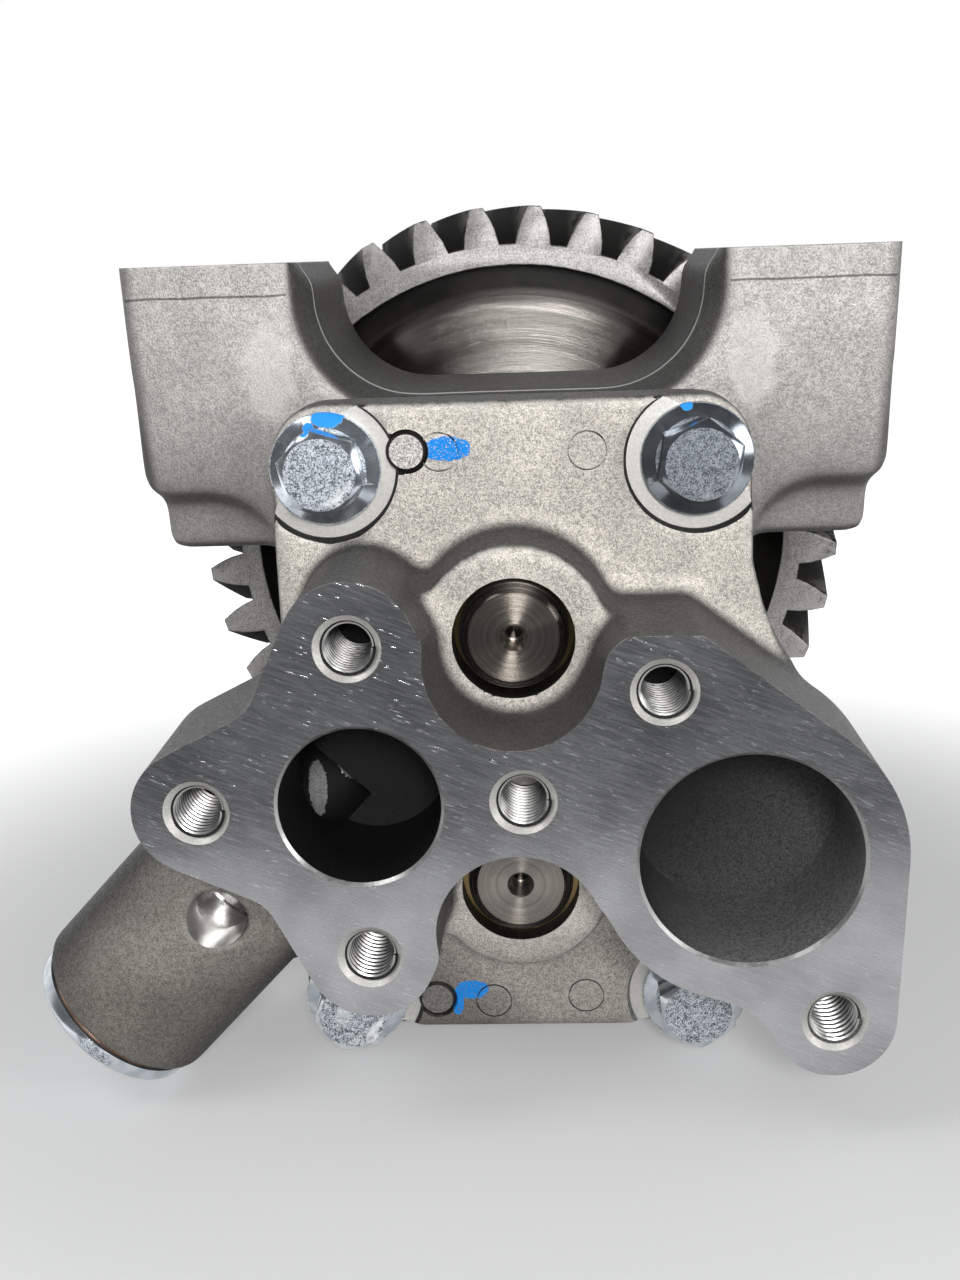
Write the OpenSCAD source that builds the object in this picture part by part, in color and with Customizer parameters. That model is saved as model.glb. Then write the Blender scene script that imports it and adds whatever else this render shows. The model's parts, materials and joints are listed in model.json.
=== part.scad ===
// Gear oil pump of a heavy diesel engine, hung under the block by two ears.
// +Z is up and +Y runs from the pipe flange to the drive gear.
// The origin is the middle of the mounting-bolt pattern, on the mounting face.

/* [Mounting ears] */
// Height of the mounting face above the drive shaft
mount_h = 70; // [68:1:80]
// Width over both ears at the mounting face
ears_w = 153; // [148:1:170]
// Clear width of the trough between the ears
trough_w = 78; // [70:1:82]
// Radius of the trough's lower corners
trough_r = 20; // [12:1:24]
// Thickness of each ear from its top to its under side
ear_h = 45.4; // [40:0.2:48]
// How far the bolt pad hangs below each ear
ear_pad_h = 11.4; // [8:0.2:14]
// How far the bolt pad stands in from the ear's outer side
ear_pad_in = 3; // [2:0.2:8]
// Distance between the mounting bolts across the pump
mount_bolt_x = 120; // [114:1:124]
// Distance between the mounting bolts along the pump
mount_bolt_y = 32; // [26:1:36]
// Clearance hole of a mounting bolt
mount_bolt_d = 11; // [8.5:0.5:13]

/* [Pump body and cover] */
// Width of the cover and of the body behind it
plate_w = 94; // [92:1:104]
// Top edge of the cover above the drive shaft
plate_top = 43.4; // [41.5:0.2:44]
// Bottom edge of the cover below the drive shaft, between the lower bolts
plate_bottom = 90; // [87:0.5:92]
// Thickness of the cover's plate
cover_t = 12; // [10:0.5:16]
// Length of the body behind the joint
body_l = 56; // [54:1:70]
// Distance between the cover bolts across the pump
cover_bolt_x = 72; // [70:0.5:76]
// Distance between the cover bolts from top to bottom
cover_bolt_z = 114; // [112:0.5:118]
// Nominal size of a cover bolt
cover_bolt_d = 10; // [8:1:10]
// Radius of the sunk seat round each cover bolt
seat_r = 13.7; // [12.5:0.1:14.5]
// Depth of the sunk seat round each cover bolt
seat_depth = 2.4; // [1:0.2:3]
// Diameter of a dowel pin
dowel_d = 8; // [6:0.5:9]

/* [Pipe flange] */
// Distance from the flange face back to the cover's plate
flange_stand = 32; // [28:1:36]
// Delivery port, across from the drive shaft
delivery_x = -28.6; // [-30:0.2:-28]
// Delivery port, below the drive shaft
delivery_z = -26.3; // [-28:0.1:-25]
// Bore of the delivery port
delivery_d = 30; // [26:0.5:32]
// Pitch circle of the four threads round the delivery port
delivery_pcd = 60; // [58:0.5:62]
// Suction port, across from the drive shaft
suction_x = 42.8; // [42:0.2:45]
// Suction port, below the drive shaft
suction_z = -38.1; // [-39:0.1:-37]
// Bore of the suction port
suction_d = 41; // [36:0.5:42]
// Outer radius of the wall round the suction port
suction_wall_r = 28.4; // [27:0.2:30]
// Pitch circle of the two threads beside the suction port
suction_pcd = 72.5; // [71:0.5:74]
// Turn of the suction threads from the horizontal
suction_turn = 116; // [113:0.5:119]
// Nominal size of the flange threads
flange_thread_d = 10; // [8:1:10]
// Depth of the flange threads
flange_thread_l = 22; // [16:1:26]

/* [Pump gears] */
// Distance between the two shafts
shaft_gap = 52; // [50:0.5:54]
// Teeth on each pump gear
pump_teeth = 13; // [12:1:15]
// Pressure angle of the pump gears
pump_angle = 25; // [22:0.5:27]
// Length of the pump gears
pump_gear_l = 40; // [30:1:42]
// Diameter of both shafts
shaft_d = 21; // [18:0.5:22]
// Outer diameter of the bushes
bush_d = 25; // [24:0.5:27]
// Length of the bushes in the cover
bush_l = 18; // [12:1:18]

/* [Drive gear] */
// Teeth on the drive gear
gear_teeth = 36; // [32:1:38]
// Normal module of the drive gear
gear_module = 4; // [3.8:0.05:4.2]
// Helix angle of the drive gear
gear_helix = 22; // [15:1:26]
// Face width of the drive gear
gear_w = 28; // [22:1:32]
// Gap between the body's back and the gear's rim
gear_back_gap = 22; // [18:1:26]
// Thickness of the rim under the teeth
gear_rim_t = 5; // [4:0.5:8]
// Depth of the turned recess in each side of the gear
gear_recess = 9; // [5:0.5:10]
// Diameter of the gear's hub
gear_hub_d = 44; // [38:1:50]

/* [Relief valve] */
// Turn of the valve below the horizontal
relief_turn = 46.6; // [44:0.2:49]
// Distance of the valve's axis behind the flange face
relief_back = 30; // [29:0.5:31]
// How far the valve's axis passes above the delivery port's axis
relief_off = 3.6; // [2:0.2:4.4]
// Outer radius of the valve's housing
relief_r = 20; // [19:0.5:21]
// Distance from the port's axis to the end of the housing
relief_l = 78; // [77:1:88]
// Bore of the relief valve
relief_bore_d = 22; // [18:0.5:22]
// Length of the relief piston
piston_l = 26; // [22:1:28]
// Travel of the relief piston
piston_travel = 12; // [6:1:14]
// Diameter of the spill hole through the housing
spill_d = 11.5; // [8:0.5:12]

/* [Hidden] */
$fn = 64;
eps = 0.02;

// Clearances: press fits and keys, running fits, and flat faces that turn on each other
fit = 0.01;
run = 0.03;
side_run = 0.05;

// Places along the pump
y_joint = -body_l / 2;
y_back = body_l / 2;
y_plate = y_joint - cover_t;
y_flange = y_plate - flange_stand;
y_seat = y_plate + seat_depth;
// The bosses round the shafts stop short of the flange face, and the shaft ends lie just inside
drive_boss_back = 18.4;
driven_boss_back = 21;
shaft_end_in = 0.8;
y_drive_boss = y_flange + drive_boss_back;
y_driven_boss = y_flange + driven_boss_back;
boss_r = 17.8;
boss_foot_r = 19.4;
scoop_drive_r = 16.2;
scoop_driven_r = 15.7;
scoop_taper = 0.098;

// Pump chamber, open towards the cover
pump_module = shaft_gap / pump_teeth;
pump_pitch_r = shaft_gap / 2;
pump_tip_r = pump_pitch_r + pump_module;
pump_root_r = pump_pitch_r - 1.25 * pump_module;
chamber_r = pump_tip_r + 0.1;
y_chamber = y_joint + pump_gear_l + 2 * side_run;
backlash = 0.3;

// Rear bearing boss, drive gear and what holds it on the shaft
rear_boss_l = 10;
rear_boss_r = 21;
y_rear_boss = y_back + rear_boss_l;
thrust_t = 2;
y_hub = y_rear_boss + thrust_t + 2 * side_run;
y_gear = y_back + gear_back_gap;
y_gear_end = y_gear + gear_w;
hub_back = 2;
y_hub_end = y_gear_end + hub_back;
gear_seat_d = shaft_d - 1;
thread_d = 16;
washer_t = 3;
washer_d = 34;
nut_h = 13;
nut_af = 24;
thread_past = 2;
transverse_module = gear_module / cos(gear_helix);
gear_pitch_r = gear_teeth * transverse_module / 2;
gear_tip_r = gear_pitch_r + gear_module;
gear_root_r = gear_pitch_r - 1.25 * gear_module;
gear_angle = atan(tan(20) / cos(gear_helix));
gear_twist = gear_w * tan(gear_helix) / gear_pitch_r * 180 / PI;
gear_phase = 4.1;
rim_r = gear_root_r - gear_rim_t;
web_r = rim_r - gear_recess;
key_w = 6;
key_h = 6;
key_sink = 3.5;

// Bolts and dowels, as [x, z] from the drive shaft
mid_z = -shaft_gap / 2;
bolt_flange_d = 2.18 * cover_bolt_d;
bolt_af = 1.5 * cover_bolt_d;
bolt_head_h = 0.95 * cover_bolt_d;
bolt_l = 36;
corner_r = (plate_w - cover_bolt_x) / 2;
bolt_places = [[-1, 1], [1, 1], [-1, -1], [1, -1]];
// The dowels stand just outside the gear chamber
function dowel_place(at, turn, wall) =
  at + (chamber_r + wall + dowel_d / 2) * [cos(turn), sin(turn)];
dowel_places = [dowel_place([0, 0], 120.4, 5.4), dowel_place([0, -shaft_gap], 238.9, 2.1)];
dowel_l = 26;
dowel_chamfer = 0.7;

// Relief valve: its axis starts beside the delivery port and runs down to the left
relief_dir = [-cos(relief_turn), -sin(relief_turn)];
relief_side = [-sin(relief_turn), cos(relief_turn)];
relief_start = [delivery_x, delivery_z] + relief_off * relief_side;
y_relief = y_flange + relief_back;
relief_gap = 1;
relief_seat = 31;
plug_clear = 1;
relief_mouth = 10;
relief_mouth_d = relief_bore_d - 5;
spill_at = 40.7;
piston_wall = 3;
piston_crown = 5;
groove_w = 0.9;
plug_thread_l = relief_l - relief_seat - piston_l - piston_travel - plug_clear;
plug_flange_d = 37;
plug_flange_t = 3.6;
plug_socket_af = 14;
seal_t = 1.2;
spring_wire = 2;
spring_d = 14;
spring_turns = 7.5;

// Ports and passages
thread_hole_r = 0.425 * flange_thread_d;
thread_sink_r = 0.62 * flange_thread_d;
lobe_r = 12.2;
suction_lobe_r = 11.5;
delivery_wall_r = 25;
port_depth = flange_stand - 4;
port_edge = 0.6;

// Mounting ears: the trough's corners end below the chamfers of the mounting face
ear_draft = 1.5;
ear_r = 4;
ear_web_r = 15;
ear_pad_back = 3;
ear_chamfer = 3.6;
ear_chamfer_h = 5.4;
trough_wall = 1.2;
trough_corner = min(trough_r, mount_h - plate_top - ear_chamfer_h - trough_wall);
mouth_flare = 4;
mouth_flare_l = 9;

// A front-view outline, drawn from the drive shaft, made solid from one depth to another
module slab(from, to) {
  translate([0, to, -mount_h])
    rotate([90, 0, 0])
      linear_extrude(height = to - from) children();
}

// A round bar or hole along the pump at [x, z] from the drive shaft
module rod(at, from, to, r1, r2 = -1) {
  translate([at[0], from, at[1] - mount_h])
    rotate([-90, 0, 0])
      cylinder(h = to - from, r1 = r1, r2 = r2 < 0 ? r1 : r2);
}

// The four corners between two circles' outer tangents
function tangents(a, ra, b, rb) =
  let (d = norm(b - a), turn = atan2(b[1] - a[1], b[0] - a[0]), k = acos((ra - rb) / d))
  [a + ra * [cos(turn + k), sin(turn + k)], b + rb * [cos(turn + k), sin(turn + k)],
   b + rb * [cos(turn - k), sin(turn - k)], a + ra * [cos(turn - k), sin(turn - k)]];

// A lobe at b, joined by straight walls to the ring round a, a hair inside their tangents
module arm(a, ra, b, rb) {
  translate(b)
    rotate(atan2(a[1] - b[1], a[0] - b[0])) circle(r = rb);
  polygon(tangents(a, ra - eps, b, rb - eps));
}

// The straight wall on one side only, from the ring round a to the lobe at b
module half_arm(a, ra, b, rb) {
  t = tangents(a, ra - eps, b, rb - eps);
  polygon([a, t[0], t[1], b]);
}

// Centre of a round corner of radius r that touches two discs
function corner_centre(a, ra, b, rb, r, way) =
  let (d = norm(b - a), p = ra + r, q = rb + r, x = (d * d + p * p - q * q) / (2 * d),
       e = (b - a) / d)
  a + x * e + way * sqrt(p * p - x * x) * [-e[1], e[0]];

// The inside corner between two discs, filled to a round
module inside_corner(a, ra, b, rb, r, way) {
  centre = corner_centre(a, ra, b, rb, r, way);
  difference() {
    polygon([a, b, centre]);
    translate(centre) circle(r = r);
  }
}

// Involute spur outline: half angle of a tooth at radius r, then the points of all teeth
function inv(a) = tan(a) * 180 / PI - a;
function half_tooth(r, base_r, pitch_r, n, angle, play) =
  90 / n - play / (4 * pitch_r) * 180 / PI + inv(angle) - inv(acos(min(1, base_r / r)));
function polar(r, a) = [r * sin(a), r * cos(a)];
function gear_points(n, pitch_r, root_r, tip_r, angle, play, steps, tip_cut = 0) =
  let (base_r = pitch_r * cos(angle), low_r = max(base_r, root_r),
       top_r = tip_r - tip_cut,
       flank = [for (i = [0:steps]) low_r + (top_r - low_r) * i / steps],
       low_half = half_tooth(low_r, base_r, pitch_r, n, angle, play),
       tip_half = half_tooth(tip_r, base_r, pitch_r, n, angle, play))
  [for (k = [0:n - 1]) let (mid = 360 / n * k) each concat(
    [polar(root_r, mid - low_half - 0.15 * (180 / n - low_half))],
    [for (r = flank) polar(r, mid - half_tooth(r, base_r, pitch_r, n, angle, play))],
    tip_cut > 0 ? [polar(tip_r, mid - tip_half + 1.2 * tip_cut / tip_r * 57),
                   polar(tip_r, mid + tip_half - 1.2 * tip_cut / tip_r * 57)] : [],
    [for (i = [steps:-1:0]) polar(flank[i], mid + half_tooth(flank[i], base_r, pitch_r, n, angle, play))],
    [polar(root_r, mid + low_half + 0.15 * (180 / n - low_half))])];

// Outlines of the castings, seen from the flange
delivery = [delivery_x, delivery_z];
suction = [suction_x, suction_z];
driven = [0, -shaft_gap];
function delivery_lobe(i) = delivery + delivery_pcd / 2 * [cos(90 * i + 1), sin(90 * i + 1)];
function suction_lobe(i) =
  suction + suction_pcd / 2 * [cos(suction_turn + 180 * i), sin(suction_turn + 180 * i)];

// The plate's corners are round about the cover bolts
module plate_outline() {
  side = plate_w / 2;
  bolt_x = side - corner_r;
  low_bolt = mid_z - cover_bolt_z / 2;
  polygon([[-bolt_x, plate_top], [bolt_x, plate_top], [side, plate_top - corner_r],
    [side, low_bolt], [bolt_x, -plate_bottom], [-bolt_x, -plate_bottom], [-side, low_bolt],
    [-side, plate_top - corner_r]]);
  for (x = [-bolt_x, bolt_x], z = [plate_top - corner_r, low_bolt])
    translate([x, z]) circle(r = corner_r);
}

// The butterfly shape that carries both pipe ports
module flange_outline() {
  neck_half = 21.3;
  translate(delivery) circle(r = delivery_wall_r);
  translate(suction) rotate(180) circle(r = suction_wall_r);
  for (i = [1:3])
    arm(delivery, delivery_wall_r, delivery_lobe(i), lobe_r);
  difference() {
    arm(suction, suction_wall_r, suction_lobe(0), lobe_r);
    translate(suction_lobe(0) + [-lobe_r - 1, lobe_r - 1.9]) square([2 * lobe_r + 2, 4]);
  }
  translate(suction_lobe(1)) circle(r = suction_lobe_r);
  half_arm(suction, suction_wall_r, suction_lobe(1), suction_lobe_r);
  inside_corner(suction, suction_wall_r, suction_lobe(1), suction_lobe_r, 16, -1);
  translate([delivery_x, mid_z - neck_half])
    square([suction_x - delivery_x, 2 * neck_half]);
}

// Where the plate widens to carry the suction port
module plate_flare() {
  side = plate_w / 2;
  polygon([[side - 2, 14], [side + 0.4, 9], [side + 2.2, 1.5], [side + 5.2, -5.5],
    [side + 9, -11.5], [suction_x, suction_z]]);
}

// Kidney pocket that leads from a port to the meshing gears
module passage(from_x, to_x, half) {
  translate([from_x, mid_z]) circle(r = half);
  translate([to_x, mid_z]) circle(r = half);
  translate([min(from_x, to_x), mid_z - half]) square([abs(to_x - from_x), 2 * half]);
}

// Relief valve frame: z runs along the valve's axis, and y stays the depth
module on_relief(at = 0) {
  place = relief_start + at * relief_dir;
  translate([place[0], y_relief, place[1] - mount_h])
    rotate([0, -90 - relief_turn, 0]) children();
}

// Housing of the relief valve, clear of the body's side where it reaches past the joint
module relief_housing() {
  difference() {
    on_relief(delivery_d / 2) cylinder(h = relief_l - delivery_d / 2, r = relief_r);
    translate([-plate_w / 2 - relief_gap, y_joint, -mount_h - 2 * relief_l])
      cube([plate_w, 2 * relief_r, 2 * relief_l]);
  }
}

module cover_holes() {
  for (p = bolt_places) {
    at = [p[0] * cover_bolt_x / 2, mid_z + p[1] * cover_bolt_z / 2];
    rod(at, y_plate - 8, y_seat, seat_r);
    rod(at, y_plate - 1, y_joint + 1, cover_bolt_d / 2 + 0.5);
  }
  for (at = dowel_places) {
    rod(at, y_plate - 1, y_joint + 1, dowel_d / 2 + fit);
    rod(at, y_plate - eps, y_plate + 0.6, dowel_d / 2 + 0.6, dowel_d / 2 + fit);
  }
}

module shaft_holes(at, y_boss) {
  mouth_r = shaft_d / 2 + 0.7;
  rod(at, y_boss - eps, y_boss + 0.8, mouth_r + 0.6, mouth_r);
  rod(at, y_boss - eps, y_joint + 1, mouth_r);
  rod(at, y_joint - bush_l - 0.2, y_joint + 1, bush_d / 2 + fit);
}

// Round clearance in the flange before a shaft's boss, narrower towards the boss
module scoop(at, y_boss, r) {
  rod(at, y_flange - 1, y_boss, r + scoop_taper, r - scoop_taper * (y_boss - y_flange));
}

module flange_thread(at) {
  rod(at, y_flange - 1, y_flange + flange_thread_l, thread_hole_r);
  rod(at, y_flange - eps, y_flange + thread_sink_r - thread_hole_r, thread_sink_r, thread_hole_r);
}

module port(at, d) {
  rod(at, y_flange - 1, y_flange + port_depth, d / 2);
  rod(at, y_flange - eps, y_flange + port_edge, d / 2 + port_edge, d / 2);
}

module pump_cover() {
  color("lightgray")
    difference() {
      union() {
        slab(y_plate, y_joint) plate_outline();
        slab(y_flange, y_plate + 2) flange_outline();
        slab(y_plate, y_joint - 4) plate_flare();
        rod([0, 0], y_drive_boss, y_plate + 1, boss_r, boss_foot_r);
        rod(driven, y_driven_boss, y_plate + 1, boss_r, boss_foot_r);
        relief_housing();
      }
      scoop([0, 0], y_drive_boss, scoop_drive_r);
      scoop(driven, y_driven_boss, scoop_driven_r);
      shaft_holes([0, 0], y_drive_boss);
      shaft_holes(driven, y_driven_boss);
      port(delivery, delivery_d);
      port(suction, suction_d);
      slab(y_flange + port_depth - 5, y_joint + 1) {
        passage(suction_x - 8, 17, 11);
        passage(delivery_x - 2, -17, 9);
      }
      for (i = [0:3]) flange_thread(delivery_lobe(i));
      for (i = [0:1]) flange_thread(suction_lobe(i));
      cover_holes();
      on_relief(relief_seat) cylinder(h = relief_l, r = relief_bore_d / 2);
      on_relief(relief_mouth) cylinder(h = relief_l / 2, r = relief_mouth_d / 2);
      on_relief(spill_at) rotate([90, 0, 0]) cylinder(h = relief_r + 5, r = spill_d / 2);
    }
}

// One ear, on the +X side, seen from the flange
module ear_outline() {
  top = mount_h;
  low = top - ear_h;
  outer = ears_w / 2;
  side = plate_w / 2;
  wall = trough_w / 2;
  polygon([[wall, top], [outer, top], [outer - ear_draft, low + ear_r],
    [outer - ear_draft - ear_r, low], [wall, low]]);
  translate([outer - ear_draft - ear_r, low + ear_r]) circle(r = ear_r);
  difference() {
    translate([wall - trough_corner, plate_top - 1]) square([trough_corner + 1, trough_corner + 1]);
    translate([wall - trough_corner, plate_top + trough_corner]) circle(r = trough_corner);
  }
  difference() {
    translate([side - 1, low - ear_web_r]) square([ear_web_r + 1, ear_web_r + 1]);
    translate([side + ear_web_r, low - ear_web_r]) circle(r = ear_web_r);
  }
}

// The pad under one ear, where the mounting bolts' heads seat
module ear_pad_outline() {
  low = mount_h - ear_h - ear_pad_h;
  outer = ears_w / 2 - ear_draft - ear_pad_in;
  inner = plate_w / 2 - 5;
  polygon([[inner, low], [outer - 2, low], [outer - 0.6, low + 1.4], [outer, low + ear_pad_h + 2],
    [inner, low + ear_pad_h + 2]]);
}

// The part of the trough that widens towards the cover, as a front-view outline
module trough_mouth(grow) {
  r = trough_corner + grow;
  z = plate_top + trough_corner;
  for (s = [-1, 1])
    translate([s * (trough_w / 2 - trough_corner), z]) circle(r = r, $fn = 48);
  translate([-trough_w / 2 - grow, z]) square([trough_w + 2 * grow, mount_h - z + 1]);
}

module pump_body() {
  color("darkgray")
    difference() {
      union() {
        slab(y_joint, y_back) plate_outline();
        for (s = [0, 1]) mirror([s, 0, 0]) {
          slab(y_joint, y_back) ear_outline();
          slab(y_joint + ear_pad_back, y_back) ear_pad_outline();
        }
        rod([0, 0], y_back - 1, y_rear_boss, rear_boss_r);
        rod(driven, y_back - 1, y_back + 3, rear_boss_r - 3);
      }
      hull() {
        slab(y_joint - 0.1, y_joint) trough_mouth(mouth_flare);
        slab(y_joint + mouth_flare_l, y_joint + mouth_flare_l + 0.1) trough_mouth(0);
      }
      for (s = [0, 1]) mirror([s, 0, 0])
        slab(y_joint - 1, y_back + 1)
          polygon([[trough_w / 2 + ear_chamfer, mount_h + 0.1],
            [trough_w / 2 - 1, mount_h - ear_chamfer_h], [trough_w / 2 - 1, mount_h + 0.1]]);
      rod([0, 0], y_joint - 1, y_chamber, chamber_r);
      rod(driven, y_joint - 1, y_chamber, chamber_r);
      rod([0, 0], y_joint, y_rear_boss + 1, bush_d / 2 + fit);
      rod(driven, y_joint, y_back, bush_d / 2 + fit);
      for (p = bolt_places)
        rod([p[0] * cover_bolt_x / 2, mid_z + p[1] * cover_bolt_z / 2],
          y_joint - 1, y_seat + bolt_l + 3, cover_bolt_d / 2 + fit);
      for (at = dowel_places)
        rod(at, y_joint - 1, y_plate + dowel_l + 0.5, dowel_d / 2 + fit);
      for (x = [-1, 1], y = [-1, 1])
        translate([x * mount_bolt_x / 2, y * mount_bolt_y / 2, -ear_h - ear_pad_h - 1])
          cylinder(h = ear_h + ear_pad_h + 2, r = mount_bolt_d / 2);
    }
}

// Flange bolt with its head towards the pipe flange
module cover_bolt(side, row) {
  at = [side * cover_bolt_x / 2, mid_z + row * cover_bolt_z / 2];
  y_washer = y_seat - 1.6;
  y_top = y_seat - bolt_head_h;
  color("lightsteelblue") {
    rod(at, y_washer, y_seat, bolt_flange_d / 2);
    rod(at, y_washer - 1.2, y_washer, bolt_af / 2 + 0.4, bolt_flange_d / 2);
    intersection() {
      translate([at[0], y_top, at[1] - mount_h])
        rotate([-90, 0, 0]) cylinder(h = bolt_head_h, r = bolt_af / 2 / cos(30), $fn = 6);
      rod(at, y_top, y_top + 2 * bolt_af, bolt_af / 2 - 0.3, 4 * bolt_af);
    }
    rod(at, y_seat - 1, y_seat + bolt_l - 1, cover_bolt_d / 2);
    rod(at, y_seat + bolt_l - 1, y_seat + bolt_l, cover_bolt_d / 2, cover_bolt_d / 2 - 1);
  }
}

module cover_bolt_upper_left() {
  cover_bolt(-1, 1);
}

module cover_bolt_upper_right() {
  cover_bolt(1, 1);
}

module cover_bolt_lower_left() {
  cover_bolt(-1, -1);
}

module cover_bolt_lower_right() {
  cover_bolt(1, -1);
}

module dowel_pin(at) {
  r = dowel_d / 2;
  color("dimgray") {
    rod(at, y_plate, y_plate + dowel_chamfer, r - dowel_chamfer, r);
    rod(at, y_plate + dowel_chamfer, y_plate + dowel_l - dowel_chamfer, r);
    rod(at, y_plate + dowel_l - dowel_chamfer, y_plate + dowel_l, r, r - dowel_chamfer);
  }
}

module dowel_pin_upper() {
  dowel_pin(dowel_places[0]);
}

module dowel_pin_lower() {
  dowel_pin(dowel_places[1]);
}

// Turned front end of a shaft, with its chamfer and centre hole
module shaft_bar(at, from, to) {
  r = shaft_d / 2;
  difference() {
    union() {
      rod(at, from, from + 1.8, r - 1.8, r);
      rod(at, from + 1.8, to, r);
    }
    rod(at, from - eps, from + 1.3, 2.7, 2);
    rod(at, from, from + 6, 2);
  }
}

// A box along the top of the drive shaft for a key
module key_box(from, to, floor_r, grow) {
  translate([-key_w / 2 - grow, from - grow, floor_r - mount_h])
    cube([key_w + 2 * grow, to - from + 2 * grow, key_h + grow]);
}

pump_key_in = 8;
gear_key_in = 6;
y_pump_key = y_joint + pump_key_in;
y_pump_key_end = y_chamber - pump_key_in;
pump_key_floor = shaft_d / 2 - key_sink;
y_gear_key = y_hub + gear_key_in;
y_gear_key_end = y_hub_end - gear_key_in;
gear_key_floor = gear_seat_d / 2 - key_sink;

module drive_shaft() {
  color("silver")
    difference() {
      union() {
        shaft_bar([0, 0], y_drive_boss + shaft_end_in, y_rear_boss + thrust_t);
        rod([0, 0], y_rear_boss, y_hub_end, gear_seat_d / 2);
        rod([0, 0], y_hub_end - 1, y_hub_end + washer_t + nut_h + thread_past - 1, thread_d / 2);
        rod([0, 0], y_hub_end + washer_t + nut_h + thread_past - 1,
          y_hub_end + washer_t + nut_h + thread_past, thread_d / 2, thread_d / 2 - 1);
      }
      key_box(y_pump_key, y_pump_key_end, pump_key_floor, fit);
      key_box(y_gear_key, y_gear_key_end, gear_key_floor, fit);
    }
}

module driven_shaft() {
  color("silver")
    shaft_bar(driven, y_driven_boss + shaft_end_in, y_back - 1);
}

module pump_gear_key() {
  color("gray")
    key_box(y_pump_key, y_pump_key_end, pump_key_floor + fit, 0);
}

module drive_gear_key() {
  color("gray")
    key_box(y_gear_key, y_gear_key_end, gear_key_floor + fit, 0);
}

module pump_gear(at, turn) {
  difference() {
    translate([at[0], y_chamber - side_run, at[1] - mount_h])
      rotate([90, 0, 0])
        linear_extrude(height = pump_gear_l)
          rotate(turn)
            polygon(gear_points(pump_teeth, pump_pitch_r, pump_root_r, pump_tip_r,
              pump_angle, backlash, 5));
    rod(at, y_joint - 1, y_chamber + 1, shaft_d / 2 + fit);
  }
}

module drive_pump_gear() {
  color("slategray")
    difference() {
      pump_gear([0, 0], 0);
      translate([-key_w / 2 - fit, y_joint - 1, -mount_h])
        cube([key_w + 2 * fit, pump_gear_l + 5, pump_key_floor + key_h + 0.2]);
    }
}

// A tooth of the drive gear points straight down when a gap of this one points up
module driven_pump_gear() {
  color("slategray")
    pump_gear(driven, pump_teeth % 2 == 0 ? 180 / pump_teeth : 0);
}

module bush(at, from, to) {
  color("darkgoldenrod")
    difference() {
      rod(at, from, to, bush_d / 2);
      rod(at, from - 1, to + 1, shaft_d / 2 + run);
    }
}

module cover_drive_bush() {
  bush([0, 0], y_joint - bush_l, y_joint - side_run);
}

module cover_driven_bush() {
  bush(driven, y_joint - bush_l, y_joint - side_run);
}

module body_drive_bush() {
  bush([0, 0], y_chamber + side_run, y_rear_boss);
}

module body_driven_bush() {
  bush(driven, y_chamber + side_run, y_back - 0.5);
}

// Helical gear: the teeth turn to the left going back
module drive_gear() {
  color("gray")
    difference() {
      union() {
        translate([0, y_gear_end, -mount_h])
          rotate([90, 0, 0])
            rotate(gear_twist - gear_phase)
              linear_extrude(height = gear_w, twist = gear_twist, slices = 5)
                polygon(gear_points(gear_teeth, gear_pitch_r, gear_root_r, gear_tip_r,
                  gear_angle, 0.2, 3));
        rod([0, 0], y_hub, y_hub_end, gear_hub_d / 2);
      }
      translate([0, y_gear, -mount_h]) rotate([-90, 0, 0]) gear_recess_cut();
      translate([0, y_gear_end, -mount_h]) rotate([90, 0, 0]) gear_recess_cut();
      rod([0, 0], y_hub - 1, y_hub_end + 1, gear_seat_d / 2 + fit);
      translate([-key_w / 2 - fit, y_hub - 1, -mount_h])
        cube([key_w + 2 * fit, gear_w + 20, gear_key_floor + key_h + 0.2]);
    }
}

// Ring-shaped recess round the hub, turned into one side of the gear, with a round outer corner
module gear_recess_cut() {
  rotate_extrude()
    intersection() {
      union() {
        translate([web_r, 0]) circle(r = gear_recess);
        translate([0, -1]) square([web_r, gear_recess + 1]);
        translate([0, -1]) square([rim_r, 1]);
      }
      translate([gear_hub_d / 2, -1]) square([rim_r, gear_recess + 1]);
    }
}

module ring_y(from, to, outer_r, inner_r) {
  difference() {
    rod([0, 0], from, to, outer_r);
    rod([0, 0], from - 1, to + 1, inner_r);
  }
}

module thrust_washer() {
  color("goldenrod")
    ring_y(y_rear_boss + side_run, y_rear_boss + side_run + thrust_t, rear_boss_r - 2,
      shaft_d / 2 + 0.1);
}

module gear_washer() {
  color("silver")
    ring_y(y_hub_end, y_hub_end + washer_t, washer_d / 2, thread_d / 2 + 0.3);
}

module gear_nut() {
  y0 = y_hub_end + washer_t;
  color("lightsteelblue")
    difference() {
      intersection() {
        translate([0, y0, -mount_h])
          rotate([-90, 0, 0]) cylinder(h = nut_h, r = nut_af / 2 / cos(30), $fn = 6);
        rod([0, 0], y0 - nut_h, y0 + nut_h, 2 * nut_af, nut_af / 2 - 0.4);
      }
      rod([0, 0], y0 - 1, y0 + nut_h + 1, thread_d / 2 + fit);
    }
}

module relief_piston() {
  r = relief_bore_d / 2 - run;
  color("silver")
    on_relief(relief_seat + fit)
      difference() {
        union() {
          cylinder(h = 1.2, r1 = r - 1.2, r2 = r);
          translate([0, 0, 1.2]) cylinder(h = piston_l - 1.2, r = r);
        }
        translate([0, 0, piston_crown]) cylinder(h = piston_l, r = r - piston_wall);
        translate([0, 0, spill_at - relief_seat - groove_w / 2])
          difference() {
            cylinder(h = groove_w, r = r + 1);
            cylinder(h = groove_w, r = r - 0.6);
          }
      }
}

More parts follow.
